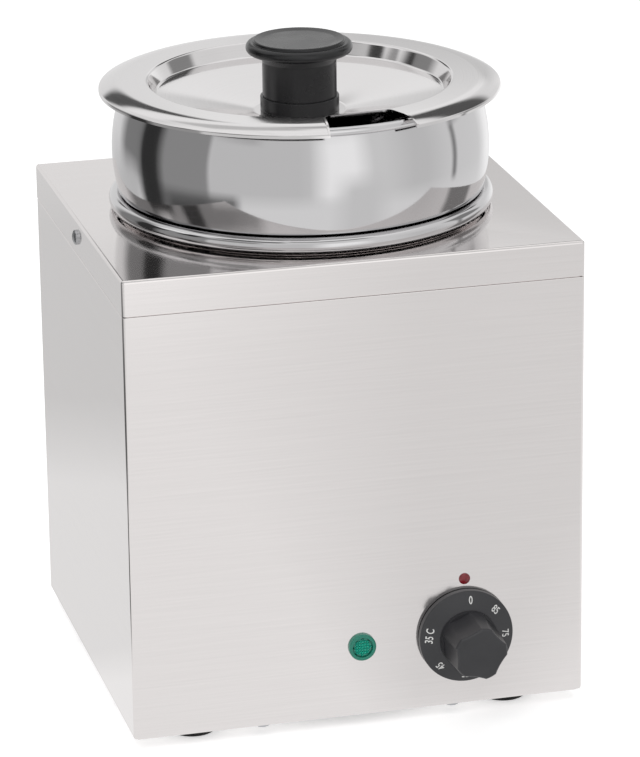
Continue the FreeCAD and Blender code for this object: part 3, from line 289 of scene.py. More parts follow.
# Moulded: two tones, roughness, grain and its depth in millimetres, IOR.
# Plain metal: two tones, roughness, size of the mottling in millimetres.
materials = {
    "brushed_stainless": brushed_sheet(),
    "polished_stainless": polished_steel(),
    "satin_lid_steel": spun_lid_steel(),
    # Phenolic, moulded in a polished die: deep black with a broad soft gloss
    "black_bakelite": moulded("black_phenolic_knob", "#0A0A0C", "#0F0F12", 0.28, 0.5, 0.01, 1.5),
    # Glass-filled nylon, moulded: dark grey, and dull beside the knob
    "dial_plastic": moulded("dark_grey_moulded_dial", "#28282B", "#303033", 0.34, 0.4, 0.02, 1.53),
    "green_lens": lens_plastic(),
    "red_marker": marker_plastic(),
    # Rubber, moulded: flat black with hardly any shine
    "black_rubber": moulded("black_rubber_foot", "#161516", "#201F20", 0.6, 0.6, 0.05, 1.52),
    # Nylon, moulded: mid grey with a dull sheen
    "grey_nylon": moulded("grey_nylon_gland", "#55565A", "#606165", 0.45, 0.5, 0.03, 1.53),
    # Steel screws and clips, zinc plated: cool pale grey with a broken shine
    "zinc_steel": plain_metal("zinc_plated_steel", "#A9AAAC", "#BDBEC0", 0.32, 4),
    # Steel heater sheath, dulled by heat: brownish grey and nearly matt
    "heater_steel": plain_metal("heat_dulled_sheath", "#5F574F", "#83786C", 0.5, 6),
    # Phenolic cases, moulded: dark brown and matt
    "phenolic": moulded("brown_phenolic_case", "#2E2520", "#3A2F28", 0.5, 0.8, 0.05, 1.6),
    # Brass, turned and left plain: warm yellow with a shine
    "brass_parts": plain_metal("plain_brass", "#B08D4C", "#C6A462", 0.28, 5),
    # Copper tube, drawn: brownish red with a shine
    "copper_tube": plain_metal("drawn_copper", "#A5633F", "#BF7B54", 0.3, 5),
    # Nylon blocks, moulded: off-white and dull
    "white_block": moulded("white_nylon_block", "#D9D6CC", "#E4E1D8", 0.45, 0.8, 0.04, 1.53),
}

# Ink for marking plastic, printed: flat white on the dark dial
print_white = moulded("white_printed_numeral", "#E6E6E4", "#F1F1EF", 0.5, 0.3, 0.01)


# Geometry trees


def new_tree(name, **sizes):
    """Geometry tree with its named inputs, each with the kind of its socket."""
    tree = bpy.data.node_groups.new(name, "GeometryNodeTree")
    tree.is_modifier = True
    sockets = tree.interface
    sockets.new_socket("Geometry", in_out="INPUT", socket_type="NodeSocketGeometry")
    for label, kind in sizes.items():
        title = label.replace("_", " ").title()
        sockets.new_socket(title, in_out="INPUT", socket_type="NodeSocket" + kind)
    sockets.new_socket("Geometry", in_out="OUTPUT", socket_type="NodeSocketGeometry")
    return tree, add(tree, "NodeGroupInput").outputs


def close_tree(tree, shape, material):
    """Ends a tree with one real mesh in one material."""
    real = add(tree, "GeometryNodeRealizeInstances", {"Geometry": shape})
    coated = add(tree, "GeometryNodeSetMaterial", {"Geometry": real, "Material": material})
    add(tree, "NodeGroupOutput", {"Geometry": coated})


def shaded(tree, shape, limit):
    """Smooth faces, with edges past a limit in degrees kept sharp."""
    smooth = add(tree, "GeometryNodeSetShadeSmooth", {"Geometry": shape, "Shade Smooth": True})
    angle = add(tree, "GeometryNodeInputMeshEdgeAngle")
    sharp = add(tree, "FunctionNodeCompare", {0: angle.outputs["Unsigned Angle"], 1: math.radians(limit)},
                operation="GREATER_THAN")
    return add(tree, "GeometryNodeSetShadeSmooth", {
        "Geometry": smooth, "Selection": sharp, "Shade Smooth": False}, domain="EDGE")


def swept(tree, outline, steps, bend_steps):
    """Turns an outline of radius and height about Z, with its corners rounded by their bends.

    The outline is swept along a circle, so it first moves in by the circle's own radius.
    """
    path_radius = 0.1
    line = add(tree, "GeometryNodeMeshToCurve", {"Mesh": outline})
    bend = add(tree, "GeometryNodeInputNamedAttribute", {"Name": "bend"}, data_type="FLOAT")
    rounded = add(tree, "GeometryNodeFilletCurve", {
        "Curve": line, "Count": bend_steps, "Radius": bend}, mode="POLY")
    profile = add(tree, "GeometryNodeTransform", {
        "Geometry": rounded, "Rotation": (math.pi / 2, 0, 0), "Translation": (-path_radius, 0, 0)})
    circle = add(tree, "GeometryNodeCurvePrimitiveCircle", {"Resolution": steps, "Radius": path_radius})
    level = add(tree, "GeometryNodeSetCurveNormal", {"Curve": circle}, mode="Z_UP")
    shape = add(tree, "GeometryNodeCurveToMesh", {"Curve": level, "Profile Curve": profile})
    return add(tree, "GeometryNodeMergeByDistance", {"Geometry": shape, "Distance": SAME_POINT})


def turned_tree():
    """Anything turned: an outline swept about its own axis and set in place."""
    tree, given = new_tree("turned piece", steps="Int", bend_steps="Int", centre="Vector",
                           material="Material")
    shape = swept(tree, given["Geometry"], given["Steps"], given["Bend Steps"])
    placed = add(tree, "GeometryNodeTransform", {"Geometry": shape, "Translation": given["Centre"]})
    close_tree(tree, shaded(tree, placed, 30), given["Material"])
    return tree


def lid_tree():
    """Lid: a pressed sheet turned about its axis, with a notch cut out of it and a lip on the cut.

    Its outline has two loops: number 0 is the sheet, and number 1 is the same sheet a little higher,
    of which only a narrow band round the notch is kept as the lip.
    """
    tree, given = new_tree(
        "notched lid", steps="Int", bend_steps="Int", notch_inner_radius="Float", notch_outer_radius="Float",
        notch_inner_width="Float", notch_outer_width="Float", notch_corner="Float", notch_turn="Rotation",
        lip_width="Float", low="Float", tall="Float", centre="Vector", material="Material")
    corner_steps = 8

    def prism(grow):
        """Upright prism over the notch, wider by an amount all round."""
        inner = add(tree, "ShaderNodeMath", {0: given["Notch Inner Radius"], 1: grow}, operation="SUBTRACT")
        depth = add(tree, "ShaderNodeMath", {0: given["Notch Outer Radius"], 1: inner}, operation="SUBTRACT")
        middle = add(tree, "ShaderNodeMath", {0: depth, 1: 0.5, 2: inner}, operation="MULTIPLY_ADD")
        narrow, wide = [
            add(tree, "ShaderNodeMath", {0: grow, 1: 2.0, 2: given[width]}, operation="MULTIPLY_ADD")
            for width in ("Notch Inner Width", "Notch Outer Width")]
        corner = add(tree, "ShaderNodeMath", {0: given["Notch Corner"], 1: grow}, operation="ADD")
        plan = add(tree, "GeometryNodeCurvePrimitiveQuadrilateral", {
            "Height": depth, "Bottom Width": narrow, "Top Width": wide, "Offset": 0.0}, mode="TRAPEZOID")
        rounded = add(tree, "GeometryNodeFilletCurve", {
            "Curve": plan, "Count": corner_steps, "Radius": corner}, mode="POLY")
        out = add(tree, "ShaderNodeCombineXYZ", {"Y": middle})
        moved = add(tree, "GeometryNodeTransform", {"Geometry": rounded, "Translation": out})
        flat = add(tree, "GeometryNodeFillCurve", {"Curve": moved}, mode="NGONS")
        down = add(tree, "ShaderNodeCombineXYZ", {"Z": given["Low"]})
        face = add(tree, "GeometryNodeTransform", {
            "Geometry": flat, "Rotation": given["Notch Turn"], "Translation": down})
        rise = add(tree, "ShaderNodeCombineXYZ", {"Z": given["Tall"]})
        raised = add(tree, "GeometryNodeExtrudeMesh", {
            "Mesh": face, "Offset": rise, "Offset Scale": 1.0, "Individual": False})
        under = add(tree, "GeometryNodeFlipFaces", {"Mesh": face})
        shell = add(tree, "GeometryNodeJoinGeometry", {"Geometry": [raised, under]})
        return add(tree, "GeometryNodeMergeByDistance", {"Geometry": shell, "Distance": SAME_POINT})

    loop = add(tree, "GeometryNodeInputNamedAttribute", {"Name": "loop"}, data_type="FLOAT")
    outlines = add(tree, "GeometryNodeSeparateGeometry", {"Geometry": given["Geometry"], "Selection": loop})
    raised = swept(tree, outlines.outputs["Selection"], given["Steps"], given["Bend Steps"])
    sheet = swept(tree, outlines.outputs["Inverted"], given["Steps"], given["Bend Steps"])
    notch = prism(0.0)
    cut_sheet, band = [
        add(tree, "GeometryNodeMeshBoolean", {"Mesh 1": shape, "Mesh 2": notch},
            operation="DIFFERENCE", solver="EXACT")
        for shape in (sheet, prism(given["Lip Width"]))]
    lip = add(tree, "GeometryNodeMeshBoolean", {"Mesh 2": [raised, band]},
              operation="INTERSECT", solver="EXACT")
    both = add(tree, "GeometryNodeJoinGeometry", {"Geometry": [cut_sheet, lip]})
    placed = add(tree, "GeometryNodeTransform", {"Geometry": both, "Translation": given["Centre"]})
    close_tree(tree, shaded(tree, placed, 30), given["Material"])
    return tree


def lens_tree():
    """Pilot lens: a turned rim and dish, with rows of small pyramids in the dish."""
    tree, given = new_tree(
        "faceted lens", steps="Int", bend_steps="Int", facet_pitch="Float", facet_height="Float",
        facet_reach="Float", floor="Float", turn="Rotation", centre="Vector", material="Material")
    rim = swept(tree, given["Geometry"], given["Steps"], given["Bend Steps"])
    across = add(tree, "ShaderNodeMath", {0: given["Facet Reach"], 1: 2.0}, operation="MULTIPLY")
    count = add(tree, "ShaderNodeMath", {0: across, 1: given["Facet Pitch"]}, operation="DIVIDE")
    rows = add(tree, "ShaderNodeMath", {0: count, 1: 1.0}, operation="ADD")
    grid = add(tree, "GeometryNodeMeshGrid", {
        "Size X": across, "Size Y": across, "Vertices X": rows, "Vertices Y": rows})
    away = add(tree, "ShaderNodeVectorMath", {0: add(tree, "GeometryNodeInputPosition")},
               operation="LENGTH")
    outside = add(tree, "FunctionNodeCompare", {0: away.outputs["Value"], 1: given["Facet Reach"]},
                  operation="GREATER_THAN")
    inside = add(tree, "GeometryNodeDeleteGeometry", {"Geometry": grid, "Selection": outside})
    half_diagonal = add(tree, "ShaderNodeMath", {0: given["Facet Pitch"], 1: math.sqrt(0.5)},
                        operation="MULTIPLY")
    pyramid = add(tree, "GeometryNodeMeshCone", {
        "Vertices": 4, "Radius Bottom": half_diagonal, "Radius Top": 0.0, "Depth": given["Facet Height"]})
    facets = add(tree, "GeometryNodeInstanceOnPoints", {
        "Points": inside, "Instance": pyramid, "Rotation": (0, 0, math.pi / 4)})
    floor = add(tree, "ShaderNodeCombineXYZ", {"Z": given["Floor"]})
    sunk = add(tree, "GeometryNodeTransform", {"Geometry": facets, "Translation": floor})
    both = add(tree, "GeometryNodeJoinGeometry", {"Geometry": [shaded(tree, rim, 30), sunk]})
    placed = add(tree, "GeometryNodeTransform", {
        "Geometry": both, "Rotation": given["Turn"], "Translation": given["Centre"]})
    close_tree(tree, placed, given["Material"])
    return tree


def screw_tree():
    """Slotted pan-head screws: one on each point, its head the way that the point faces."""
    tree, given = new_tree(
        "slotted screws", head_radius="Float", head_height="Float", dome_radius="Float",
        slot_width="Float", slot_depth="Float", shank_radius="Float", shank_length="Float",
        material="Material")

    def lowered(shape, length, share):
        """The shape moved down by a share of a length."""
        drop = add(tree, "ShaderNodeMath", {0: length, 1: -share}, operation="MULTIPLY")
        offset = add(tree, "ShaderNodeCombineXYZ", {"Z": drop})
        return add(tree, "GeometryNodeTransform", {"Geometry": shape, "Translation": offset})

    disc = add(tree, "GeometryNodeMeshCylinder", {
        "Vertices": 40, "Radius": given["Head Radius"], "Depth": given["Head Height"]})
    ball = add(tree, "GeometryNodeMeshUVSphere", {
        "Segments": 40, "Rings": 24, "Radius": given["Dome Radius"]})
    head = add(tree, "GeometryNodeMeshBoolean", {
        "Mesh 2": [lowered(disc, given["Head Height"], 0.5), lowered(ball, given["Dome Radius"], 1.0)]},
        operation="INTERSECT")
    long = add(tree, "ShaderNodeMath", {0: given["Head Radius"], 1: 3.0}, operation="MULTIPLY")
    deep = add(tree, "ShaderNodeMath", {0: given["Slot Depth"], 1: 2.0}, operation="MULTIPLY")
    size = add(tree, "ShaderNodeCombineXYZ", {"X": long, "Y": given["Slot Width"], "Z": deep})
    slot = add(tree, "GeometryNodeMeshCube", {"Size": size})
    slotted = add(tree, "GeometryNodeMeshBoolean", {"Mesh 1": head, "Mesh 2": slot}, operation="DIFFERENCE")
    rod = add(tree, "GeometryNodeMeshCylinder", {
        "Vertices": 24, "Radius": given["Shank Radius"], "Depth": given["Shank Length"]})
    shank = lowered(lowered(rod, given["Shank Length"], 0.5), given["Head Height"], 0.95)
    screw = add(tree, "GeometryNodeJoinGeometry", {"Geometry": [slotted, shank]})
    facing = add(tree, "GeometryNodeInputNamedAttribute", {"Name": "facing"}, data_type="FLOAT_VECTOR")
    aim = add(tree, "FunctionNodeAlignRotationToVector", {"Vector": facing}, axis="Z")
    placed = add(tree, "GeometryNodeInstanceOnPoints", {
        "Points": given["Geometry"], "Instance": screw, "Rotation": aim})
    real = add(tree, "GeometryNodeRealizeInstances", {"Geometry": placed})
    close_tree(tree, shaded(tree, real, 35), given["Material"])
    return tree


trees = {"turned": turned_tree(), "lid": lid_tree(), "lens": lens_tree(), "screws": screw_tree()}


# Making pieces


def link(name, data):
    """Object in the scene, at the origin."""
    piece = bpy.data.objects.new(name, data)
    scene.collection.objects.link(piece)
    return piece


def plain_mesh(source, name):
    """Mesh of an object as its modifiers leave it."""
    bpy.context.view_layer.update()
    graph = bpy.context.evaluated_depsgraph_get()
    mesh = bpy.data.meshes.new_from_object(source.evaluated_get(graph), depsgraph=graph)
    mesh.name = name
    return mesh


def finished(piece, body, nodes, slot):
    """The piece as a plain mesh in one material, on its body and in place of CAD nodes."""
    name = piece.name
    weigh = piece.modifiers.new("weighted normals", "WEIGHTED_NORMAL")
    weigh.keep_sharp = True     # flat faces stay flat beside small rounds
    mesh = plain_mesh(piece, name)
    bpy.data.objects.remove(piece)
    mesh.materials.clear()
    mesh.materials.append(materials[slot])
    mesh.polygons.foreach_set("material_index", [0] * len(mesh.polygons))
    piece = link(name, mesh)
    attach(piece, body)
    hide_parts(*nodes)
    return piece


def grown(name, seed, tree, sizes, body, nodes, slot):
    """Piece made by a geometry tree from a seed mesh, in place of CAD nodes."""
    piece = link(name, seed)
    modifier = piece.modifiers.new("shape", "NODES")
    modifier.node_group = tree
    wanted = dict(sizes, Material=materials[slot])
    for socket in tree.interface.items_tree:
        if socket.item_type == "SOCKET" and socket.in_out == "INPUT" and socket.name in wanted:
            modifier[socket.identifier] = wanted[socket.name]
    return finished(piece, body, nodes, slot)


def outline_mesh(name, *loops):
    """Seed mesh of closed lines through (radius, height, bend) corners in millimetres."""
    points = []
    edges = []
    for corners in loops:
        first = len(points)
        points += [(r * MM, 0, z * MM) for r, z, bend in corners]
        edges += [(first + i, first + (i + 1) % len(corners)) for i in range(len(corners))]
    mesh = bpy.data.meshes.new(name)
    mesh.from_pydata(points, edges, [])
    bends = [bend * MM for corners in loops for r, z, bend in corners]
    numbers = [float(number) for number, corners in enumerate(loops) for corner in corners]
    mesh.attributes.new("bend", "FLOAT", "POINT").data.foreach_set("value", bends)
    mesh.attributes.new("loop", "FLOAT", "POINT").data.foreach_set("value", numbers)
    return mesh


def beside(corners, gap):
    """The same line moved to its left by a gap, with its bends kept round the same middles."""
    points = [Vector(c[:2]) for c in corners]
    runs = [(b - a).normalized() for a, b in zip(points, points[1:])]
    left = [Vector((-d.y, d.x)) for d in runs]
    moved = [(points[0] + left[0] * gap, corners[0][2])]
    for k in range(1, len(points) - 1):
        shift = (left[k - 1] + left[k]) * (gap / (1 + left[k - 1].dot(left[k])))
        turn = runs[k - 1].x * runs[k].y - runs[k - 1].y * runs[k].x
        bend = corners[k][2]
        if bend > 0:
            bend = max(bend - math.copysign(gap, turn), 0)
        moved.append((points[k] + shift, bend))
    moved.append((points[-1] + left[-1] * gap, corners[-1][2]))
    return [(p.x, p.y, bend) for p, bend in moved]


def arc_corner(start, middle, end):
    """The corner and bend that round off to the arc through three points."""
    a, b, c = Vector(start), Vector(middle), Vector(end)
    twice = 2 * ((b - a).cross(c - a))
    ab = b.length_squared - a.length_squared
    ac = c.length_squared - a.length_squared
    centre = Vector(((ab * (c.y - a.y) - ac * (b.y - a.y)) / twice,
                     (ac * (b.x - a.x) - ab * (c.x - a.x)) / twice))
    radius = (a - centre).length
    halfway = (a + c) / 2
    out = halfway - centre
    corner = centre + out * (radius ** 2 / out.length_squared)
    return (corner.x, corner.y, radius)


def turned(name, corners, body, node, slot, steps, bend_steps):
    """Turned piece in place of a CAD node."""
    sizes = {"Steps": steps, "Bend Steps": bend_steps, "Centre": tuple(axis)}
    return grown(name, outline_mesh(name, corners), trees["turned"], sizes, body, [node], slot)


def joined(node):
    """A CAD node's shape with its loose triangles joined at their corners."""
    shape = bmesh.new()
    shape.from_mesh(frame["nodes"][node].data)
    bmesh.ops.remove_doubles(shape, verts=shape.verts, dist=SAME_CORNER)
    return shape


def smooth_copy(node):
    """Copy of a CAD node with its rounds shaded smooth and its edges sharp."""
    limit = math.radians(28)
    mesh = bpy.data.meshes.new(node + "_dressed")
    shape = joined(node)
    shape.to_mesh(mesh)
    shape.free()
    if "custom_normal" in mesh.attributes:
        mesh.attributes.remove(mesh.attributes["custom_normal"])
    mesh.polygons.foreach_set("use_smooth", [True] * len(mesh.polygons))
    mesh.set_sharp_from_angle(angle=limit)
    return finished(link(mesh.name, mesh), frame["nodes"][node]["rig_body"], [node], slot_of[node])


def solid_boxes(node):
    """Lowest and highest corner of each separate solid of a CAD node."""
    shape = joined(node)
    boxes = []
    seen = set()
    for first in shape.verts:
        if first in seen:
            continue
        seen.add(first)
        front = [first]
        low = high = first.co
        while front:
            vertex = front.pop()
            low = Vector(map(min, low, vertex.co))
            high = Vector(map(max, high, vertex.co))
            for edge in vertex.link_edges:
                other = edge.other_vert(vertex)
                if other not in seen:
                    seen.add(other)
                    front.append(other)
        boxes.append((low, high))
    shape.free()
    return boxes


# CAD nodes in their materials

slot_of = {row["node"]: row["material_slot"] for row in frame["record"]["subparts"]}
for node, shape in frame["nodes"].items():
    shape.data.materials.clear()
    shape.data.materials.append(materials[slot_of[node]])


# Pot, tank, lid and knob: (radius, height, bend) corners in millimetres round their own axis


def pot_outline():
    """Inside from the bottom up, round the rolled rim, and down the outer face."""
    sheet = 1.0
    wall = 87.0
    bottom = pot_low.z / MM
    bottom_bend = 15.0
    shoulder = 254.8
    shoulder_bend = 5.0
    belly_start = 95.6
    belly_widest = (98.3, 284.2)
    top = pot_high.z / MM
    roll = 2.2
    rim = 94.2
    neck = (rim - roll + sheet, top - 2 * roll)
    belly_low = (belly_start, shoulder + belly_start - wall)
    outer = [
        (0, bottom, 0),
        (wall, bottom, bottom_bend),
        (wall, shoulder, shoulder_bend),
        belly_low + (0,),
        arc_corner(belly_low, belly_widest, neck),
        neck + (0,),
    ]
    inner = beside(outer, sheet)
    inner[0] = (0, inner[0][1], 0)
    edge = roll * 0.995     # a little under the roll, so that two bends fit on one side
    over = [(rim + roll, top - 2 * roll, edge), (rim + roll, top, edge), (rim - roll, top, edge)]
    return inner + over[::-1] + outer[::-1]


def tank_outline():
    """Water side up to the bead, round the bead, and back on the underside."""
    low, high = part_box("water_tank")
    sheet = 0.8
    bead = 4.0
    over = bead * 0.999     # a little under the bead, so that two bends fit on one side
    wall = 92.5
    floor = low.z / MM + sheet
    floor_bend = 12.0
    top = high.z / MM
    curl = math.radians(50)     # how far the bead's edge turns in under it
    middle = (wall + bead, top - bead)
    outside = wall + 2 * bead
    water = [
        (0, floor, 0),
        (wall, floor, floor_bend),
        (wall, top, over),
        (outside, top, over),
        (outside, middle[1] - bead * math.tan(curl / 2), bead),
        (middle[0] + bead * math.cos(curl), middle[1] - bead * math.sin(curl), 0),
    ]
    under = beside(water, -sheet)
    under[0] = (0, under[0][1], 0)
    return water + under[::-1]


def knob_outline():
    """Knob with a straight neck on a wider foot, under a cap with a shallow dish in its top."""
    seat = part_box("lid_knob")[0].z / MM
    foot, foot_top = 20.5, seat + 7.5
    neck, neck_top = 19.3, seat + 26.0
    throat, throat_top = 21.3, seat + 30.0
    cap, cap_low, cap_high = 27.7, seat + 30.4, seat + 36.0
    ring, ring_top = 23.9, seat + 37.6
    dish, dish_floor = 18.9, seat + 36.7
    return [
        (0, dish_floor, 0),
        (dish, dish_floor, 6.0),
        (ring, ring_top, 0.8),
        (ring, cap_high, 0.4),
        (cap, cap_high, 2.7),
        (cap, cap_low, 2.7),
        (throat, throat_top, 0.6),
        (neck, neck_top, 2.0),
        (neck, foot_top, 0),
        (foot, foot_top, 0.5),
        (foot, seat, 0),
        (0, seat, 0),
    ]


def notched_lid():
    """Lid from its pressed outline, with the ladle notch near the front."""
    low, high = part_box("lid")
    sheet = 1.0
    edge = (high.x - low.x) / 2 / MM
    seat = low.z / MM + sheet
    top = seat + 17.0
    edge_top = top - 3.0
    edge_foot = top - 4.6
    crown, crown_bend = 98.0, 27.0
    recess, step, step_bend = 79.0, 7.5, 1.8
    bowl, bowl_bend = 24.0, 8.0
    screw_hole = 2.3
    lip_height = 0.6
    lip_width = 1.0
    notch_width = (35.0, 51.0)
    notch_corner = 5.0
    notch_turn = 180 + 7
    line = [
        (edge, edge_foot, 0),
        (edge, edge_top, 1.1),
        (crown, top, crown_bend),
        (recess, top, step_bend),
        (recess - 4.0, top - step, step_bend),
        (bowl, seat, bowl_bend),
        (screw_hole, seat, 0),
    ]
    face = [(edge, edge_top, 0)] + line[2:]
    seed = outline_mesh("lid", line + beside(line, sheet)[::-1], face + beside(face, -lip_height)[::-1])
    sizes = {
        "Steps": 224,
        "Bend Steps": 12,
        "Notch Inner Radius": (recess + 0.5) * MM,
        "Notch Outer Radius": (edge + 6.0) * MM,
        "Notch Inner Width": notch_width[0] * MM,
        "Notch Outer Width": notch_width[1] * MM,
        "Notch Corner": notch_corner * MM,
        "Notch Turn": (0, 0, math.radians(notch_turn)),
        "Lip Width": lip_width * MM,
        "Low": (seat - 3) * MM,
        "Tall": 30.0 * MM,
        "Centre": tuple(axis),
    }
    grown("lid_spun", seed, trees["lid"], sizes, "lid", ["lid"], "satin_lid_steel")


turned("pot_polished", pot_outline(), "pot", "pot", "polished_stainless", steps=224, bend_steps=12)
turned("water_tank_polished", tank_outline(), "housing", "water_tank", "polished_stainless",
       steps=224, bend_steps=10)
turned("lid_knob_moulded", knob_outline(), "lid", "lid_knob", "black_bakelite", steps=128, bend_steps=8)
notched_lid()

# Sheet metal, dial, gland and feet keep the shapes of their CAD nodes

for node in ("housing_wrap", "top_cover", "rear_panel", "base_plate", "dial_knob", "index_marker",
             "cable_gland_body", "cable_gland_cap", "cable_gland_nut", "cable_gland_seal",
             "foot_front_left", "foot_front_right", "foot_rear_left", "foot_rear_right"):
    smooth_copy(node)


# Pilot lens


def pilot_lens():
    """Green lens: a raised rim round a dish of small pyramids, turned to face the front."""
    radius = (lens_high.x - lens_low.x) / 2 / MM
    rim = (lens_high.y - lens_low.y) / MM
    floor = rim - 1.2
    window = 5.0
    corners = [
        (0, floor, 0),
        (window, floor, 0),
        (window + 0.4, rim, 0.3),
        (radius, rim, 0.8),
        (radius, 0, 0),
        (0, 0, 0),
    ]
    sizes = {
        "Steps": 72,
        "Bend Steps": 6,
        "Facet Pitch": 1.3 * MM,
        "Facet Height": 0.7 * MM,
        "Facet Reach": (window - 0.5) * MM,
        "Floor": (floor + 0.3) * MM,
        "Centre": tuple(lens_middle),
        "Turn": (math.pi / 2, 0, 0),
    }
    seed = outline_mesh("pilot_lens", corners)
    grown("pilot_lens", seed, trees["lens"], sizes, "housing", ["pilot_lamp_lens"], "green_lens")


pilot_lens()


# Screws


def screws(name, node, facing, both_sides=False):
    """Slotted screws in place of a node's own, each with the top of its head where the node has it.

    With both_sides, the screws at the left face the other way.
    """
    facing = Vector(facing)
    along = max(range(3), key=lambda k: abs(facing[k]))
    across = (along + 1) % 3
    places = []
    for low, high in solid_boxes(node):
        middle = (low + high) / 2
        side = facing * math.copysign(1, middle.x) if both_sides else facing
        middle[along] = (high if side[along] > 0 else low)[along]
        places.append((middle, side))
        size = high - low
    head = 2.4 * MM
    mesh = bpy.data.meshes.new(name)
    mesh.from_pydata([p for p, side in places], [], [])
    sides = mesh.attributes.new("facing", "FLOAT_VECTOR", "POINT")
    for item, (p, side) in zip(sides.data, places):
        item.vector = side
    sizes = {
        "Head Radius": size[across] / 2,
        "Head Height": head,
        "Dome Radius": 7.0 * MM,
        "Slot Width": 1.0 * MM,
        "Slot Depth": 1.2 * MM,
        "Shank Radius": 1.95 * MM,
        "Shank Length": size[along] - head,
    }
    grown(name, mesh, trees["screws"], sizes, "housing", [node], "zinc_steel")


screws("cover_screws_slotted", "cover_screws", (1, 0, 0), both_sides=True)
screws("rear_panel_screws_slotted", "rear_panel_screws", (0, 1, 0))
screws("base_screws_slotted", "base_screws", (0, 0, -1))


# Numbers on the dial


def dial_numbers():
    """Printed numbers that follow the cone of the dial's skirt, their tops outwards."""
    low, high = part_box("dial_knob")
    panel_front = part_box("housing_wrap")[0].y
    middle = Vector(((low.x + high.x) / 2, panel_front, (low.z + high.z) / 2))
    rim_radius = (high.x - low.x) / 2
    rim_depth = 4.0 * MM        # skirt's rim before the panel
    cone_depth = 3.0 * MM       # how much further the skirt stands out at the grip
    grip_radius = 15.4 * MM
    ring = 20.3 * MM            # radius that the numbers stand on
    height = 5.8 * MM
    narrowing = 0.72
    print_depth = 0.05 * MM
    stroke_growth = 0.06 * MM
    # Degrees clockwise from the marker, with the dial at rest
    labels = {5: "0", 48: "85", 90: "75", 135: "65", 183: "55", 225: "45", 278: "35 C"}
    slope = math.atan2(cone_depth, rim_radius - grip_radius)
    depth = rim_depth + (rim_radius - ring) * math.tan(slope)
    outward = Vector((0, math.sin(slope), math.cos(slope)))
    normal = Vector((0, -math.cos(slope), math.sin(slope)))
    lying = Matrix((Vector((1, 0, 0)), outward, normal)).transposed().to_4x4()
    shape = bmesh.new()
    for degrees, label in labels.items():
        text = bpy.data.curves.new("number", "FONT")
        text.body = label
        text.size = height
        text.extrude = print_depth
        text.offset = stroke_growth
        text.align_x = "CENTER"
        text.align_y = "CENTER"
        holder = link("number", text)
        letters = plain_mesh(holder, "number")
        bpy.data.objects.remove(holder)
        turn = Matrix.Rotation(math.radians(degrees), 4, "Y")
        letters.transform(Matrix.Translation(middle) @ turn @ Matrix.Translation((0, -depth, ring))
                          @ lying @ Matrix.Diagonal((narrowing, 1, 1, 1)))
        shape.from_mesh(letters)
    bmesh.ops.recalc_face_normals(shape, faces=shape.faces)
    mesh = bpy.data.meshes.new("dial_numbers")
    shape.to_mesh(mesh)
    shape.free()
    mesh.materials.append(print_white)
    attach(link("dial_numbers", mesh), "dial")


dial_numbers()


# Studio


def studio_floor():
    """White floor that keeps a soft shadow: the camera sees it a little brighter."""
    half = 4.0
    glow_for_camera = 0.45
    mesh = bpy.data.meshes.new("studio_floor")
    mesh.from_pydata([(-half, -half, 0), (half, -half, 0), (half, half, 0), (-half, half, 0)], [],
                     [(0, 1, 2, 3)])
    floor = link("studio_floor", mesh)
    material, tree = new_material("white_studio_floor")[:2]
    paint = add(tree, "ShaderNodeBsdfDiffuse", {"Color": linear("#F4F4F4")})
    path = add(tree, "ShaderNodeLightPath")
    seen = add(tree, "ShaderNodeMath", {0: path.outputs["Is Camera Ray"], 1: glow_for_camera},
               operation="MULTIPLY")
    glow = add(tree, "ShaderNodeEmission", {"Color": linear("#FFFFFF"), "Strength": seen})
    both = add(tree, "ShaderNodeAddShader", {0: paint, 1: glow})
    close_material(tree, both)
    mesh.materials.append(material)


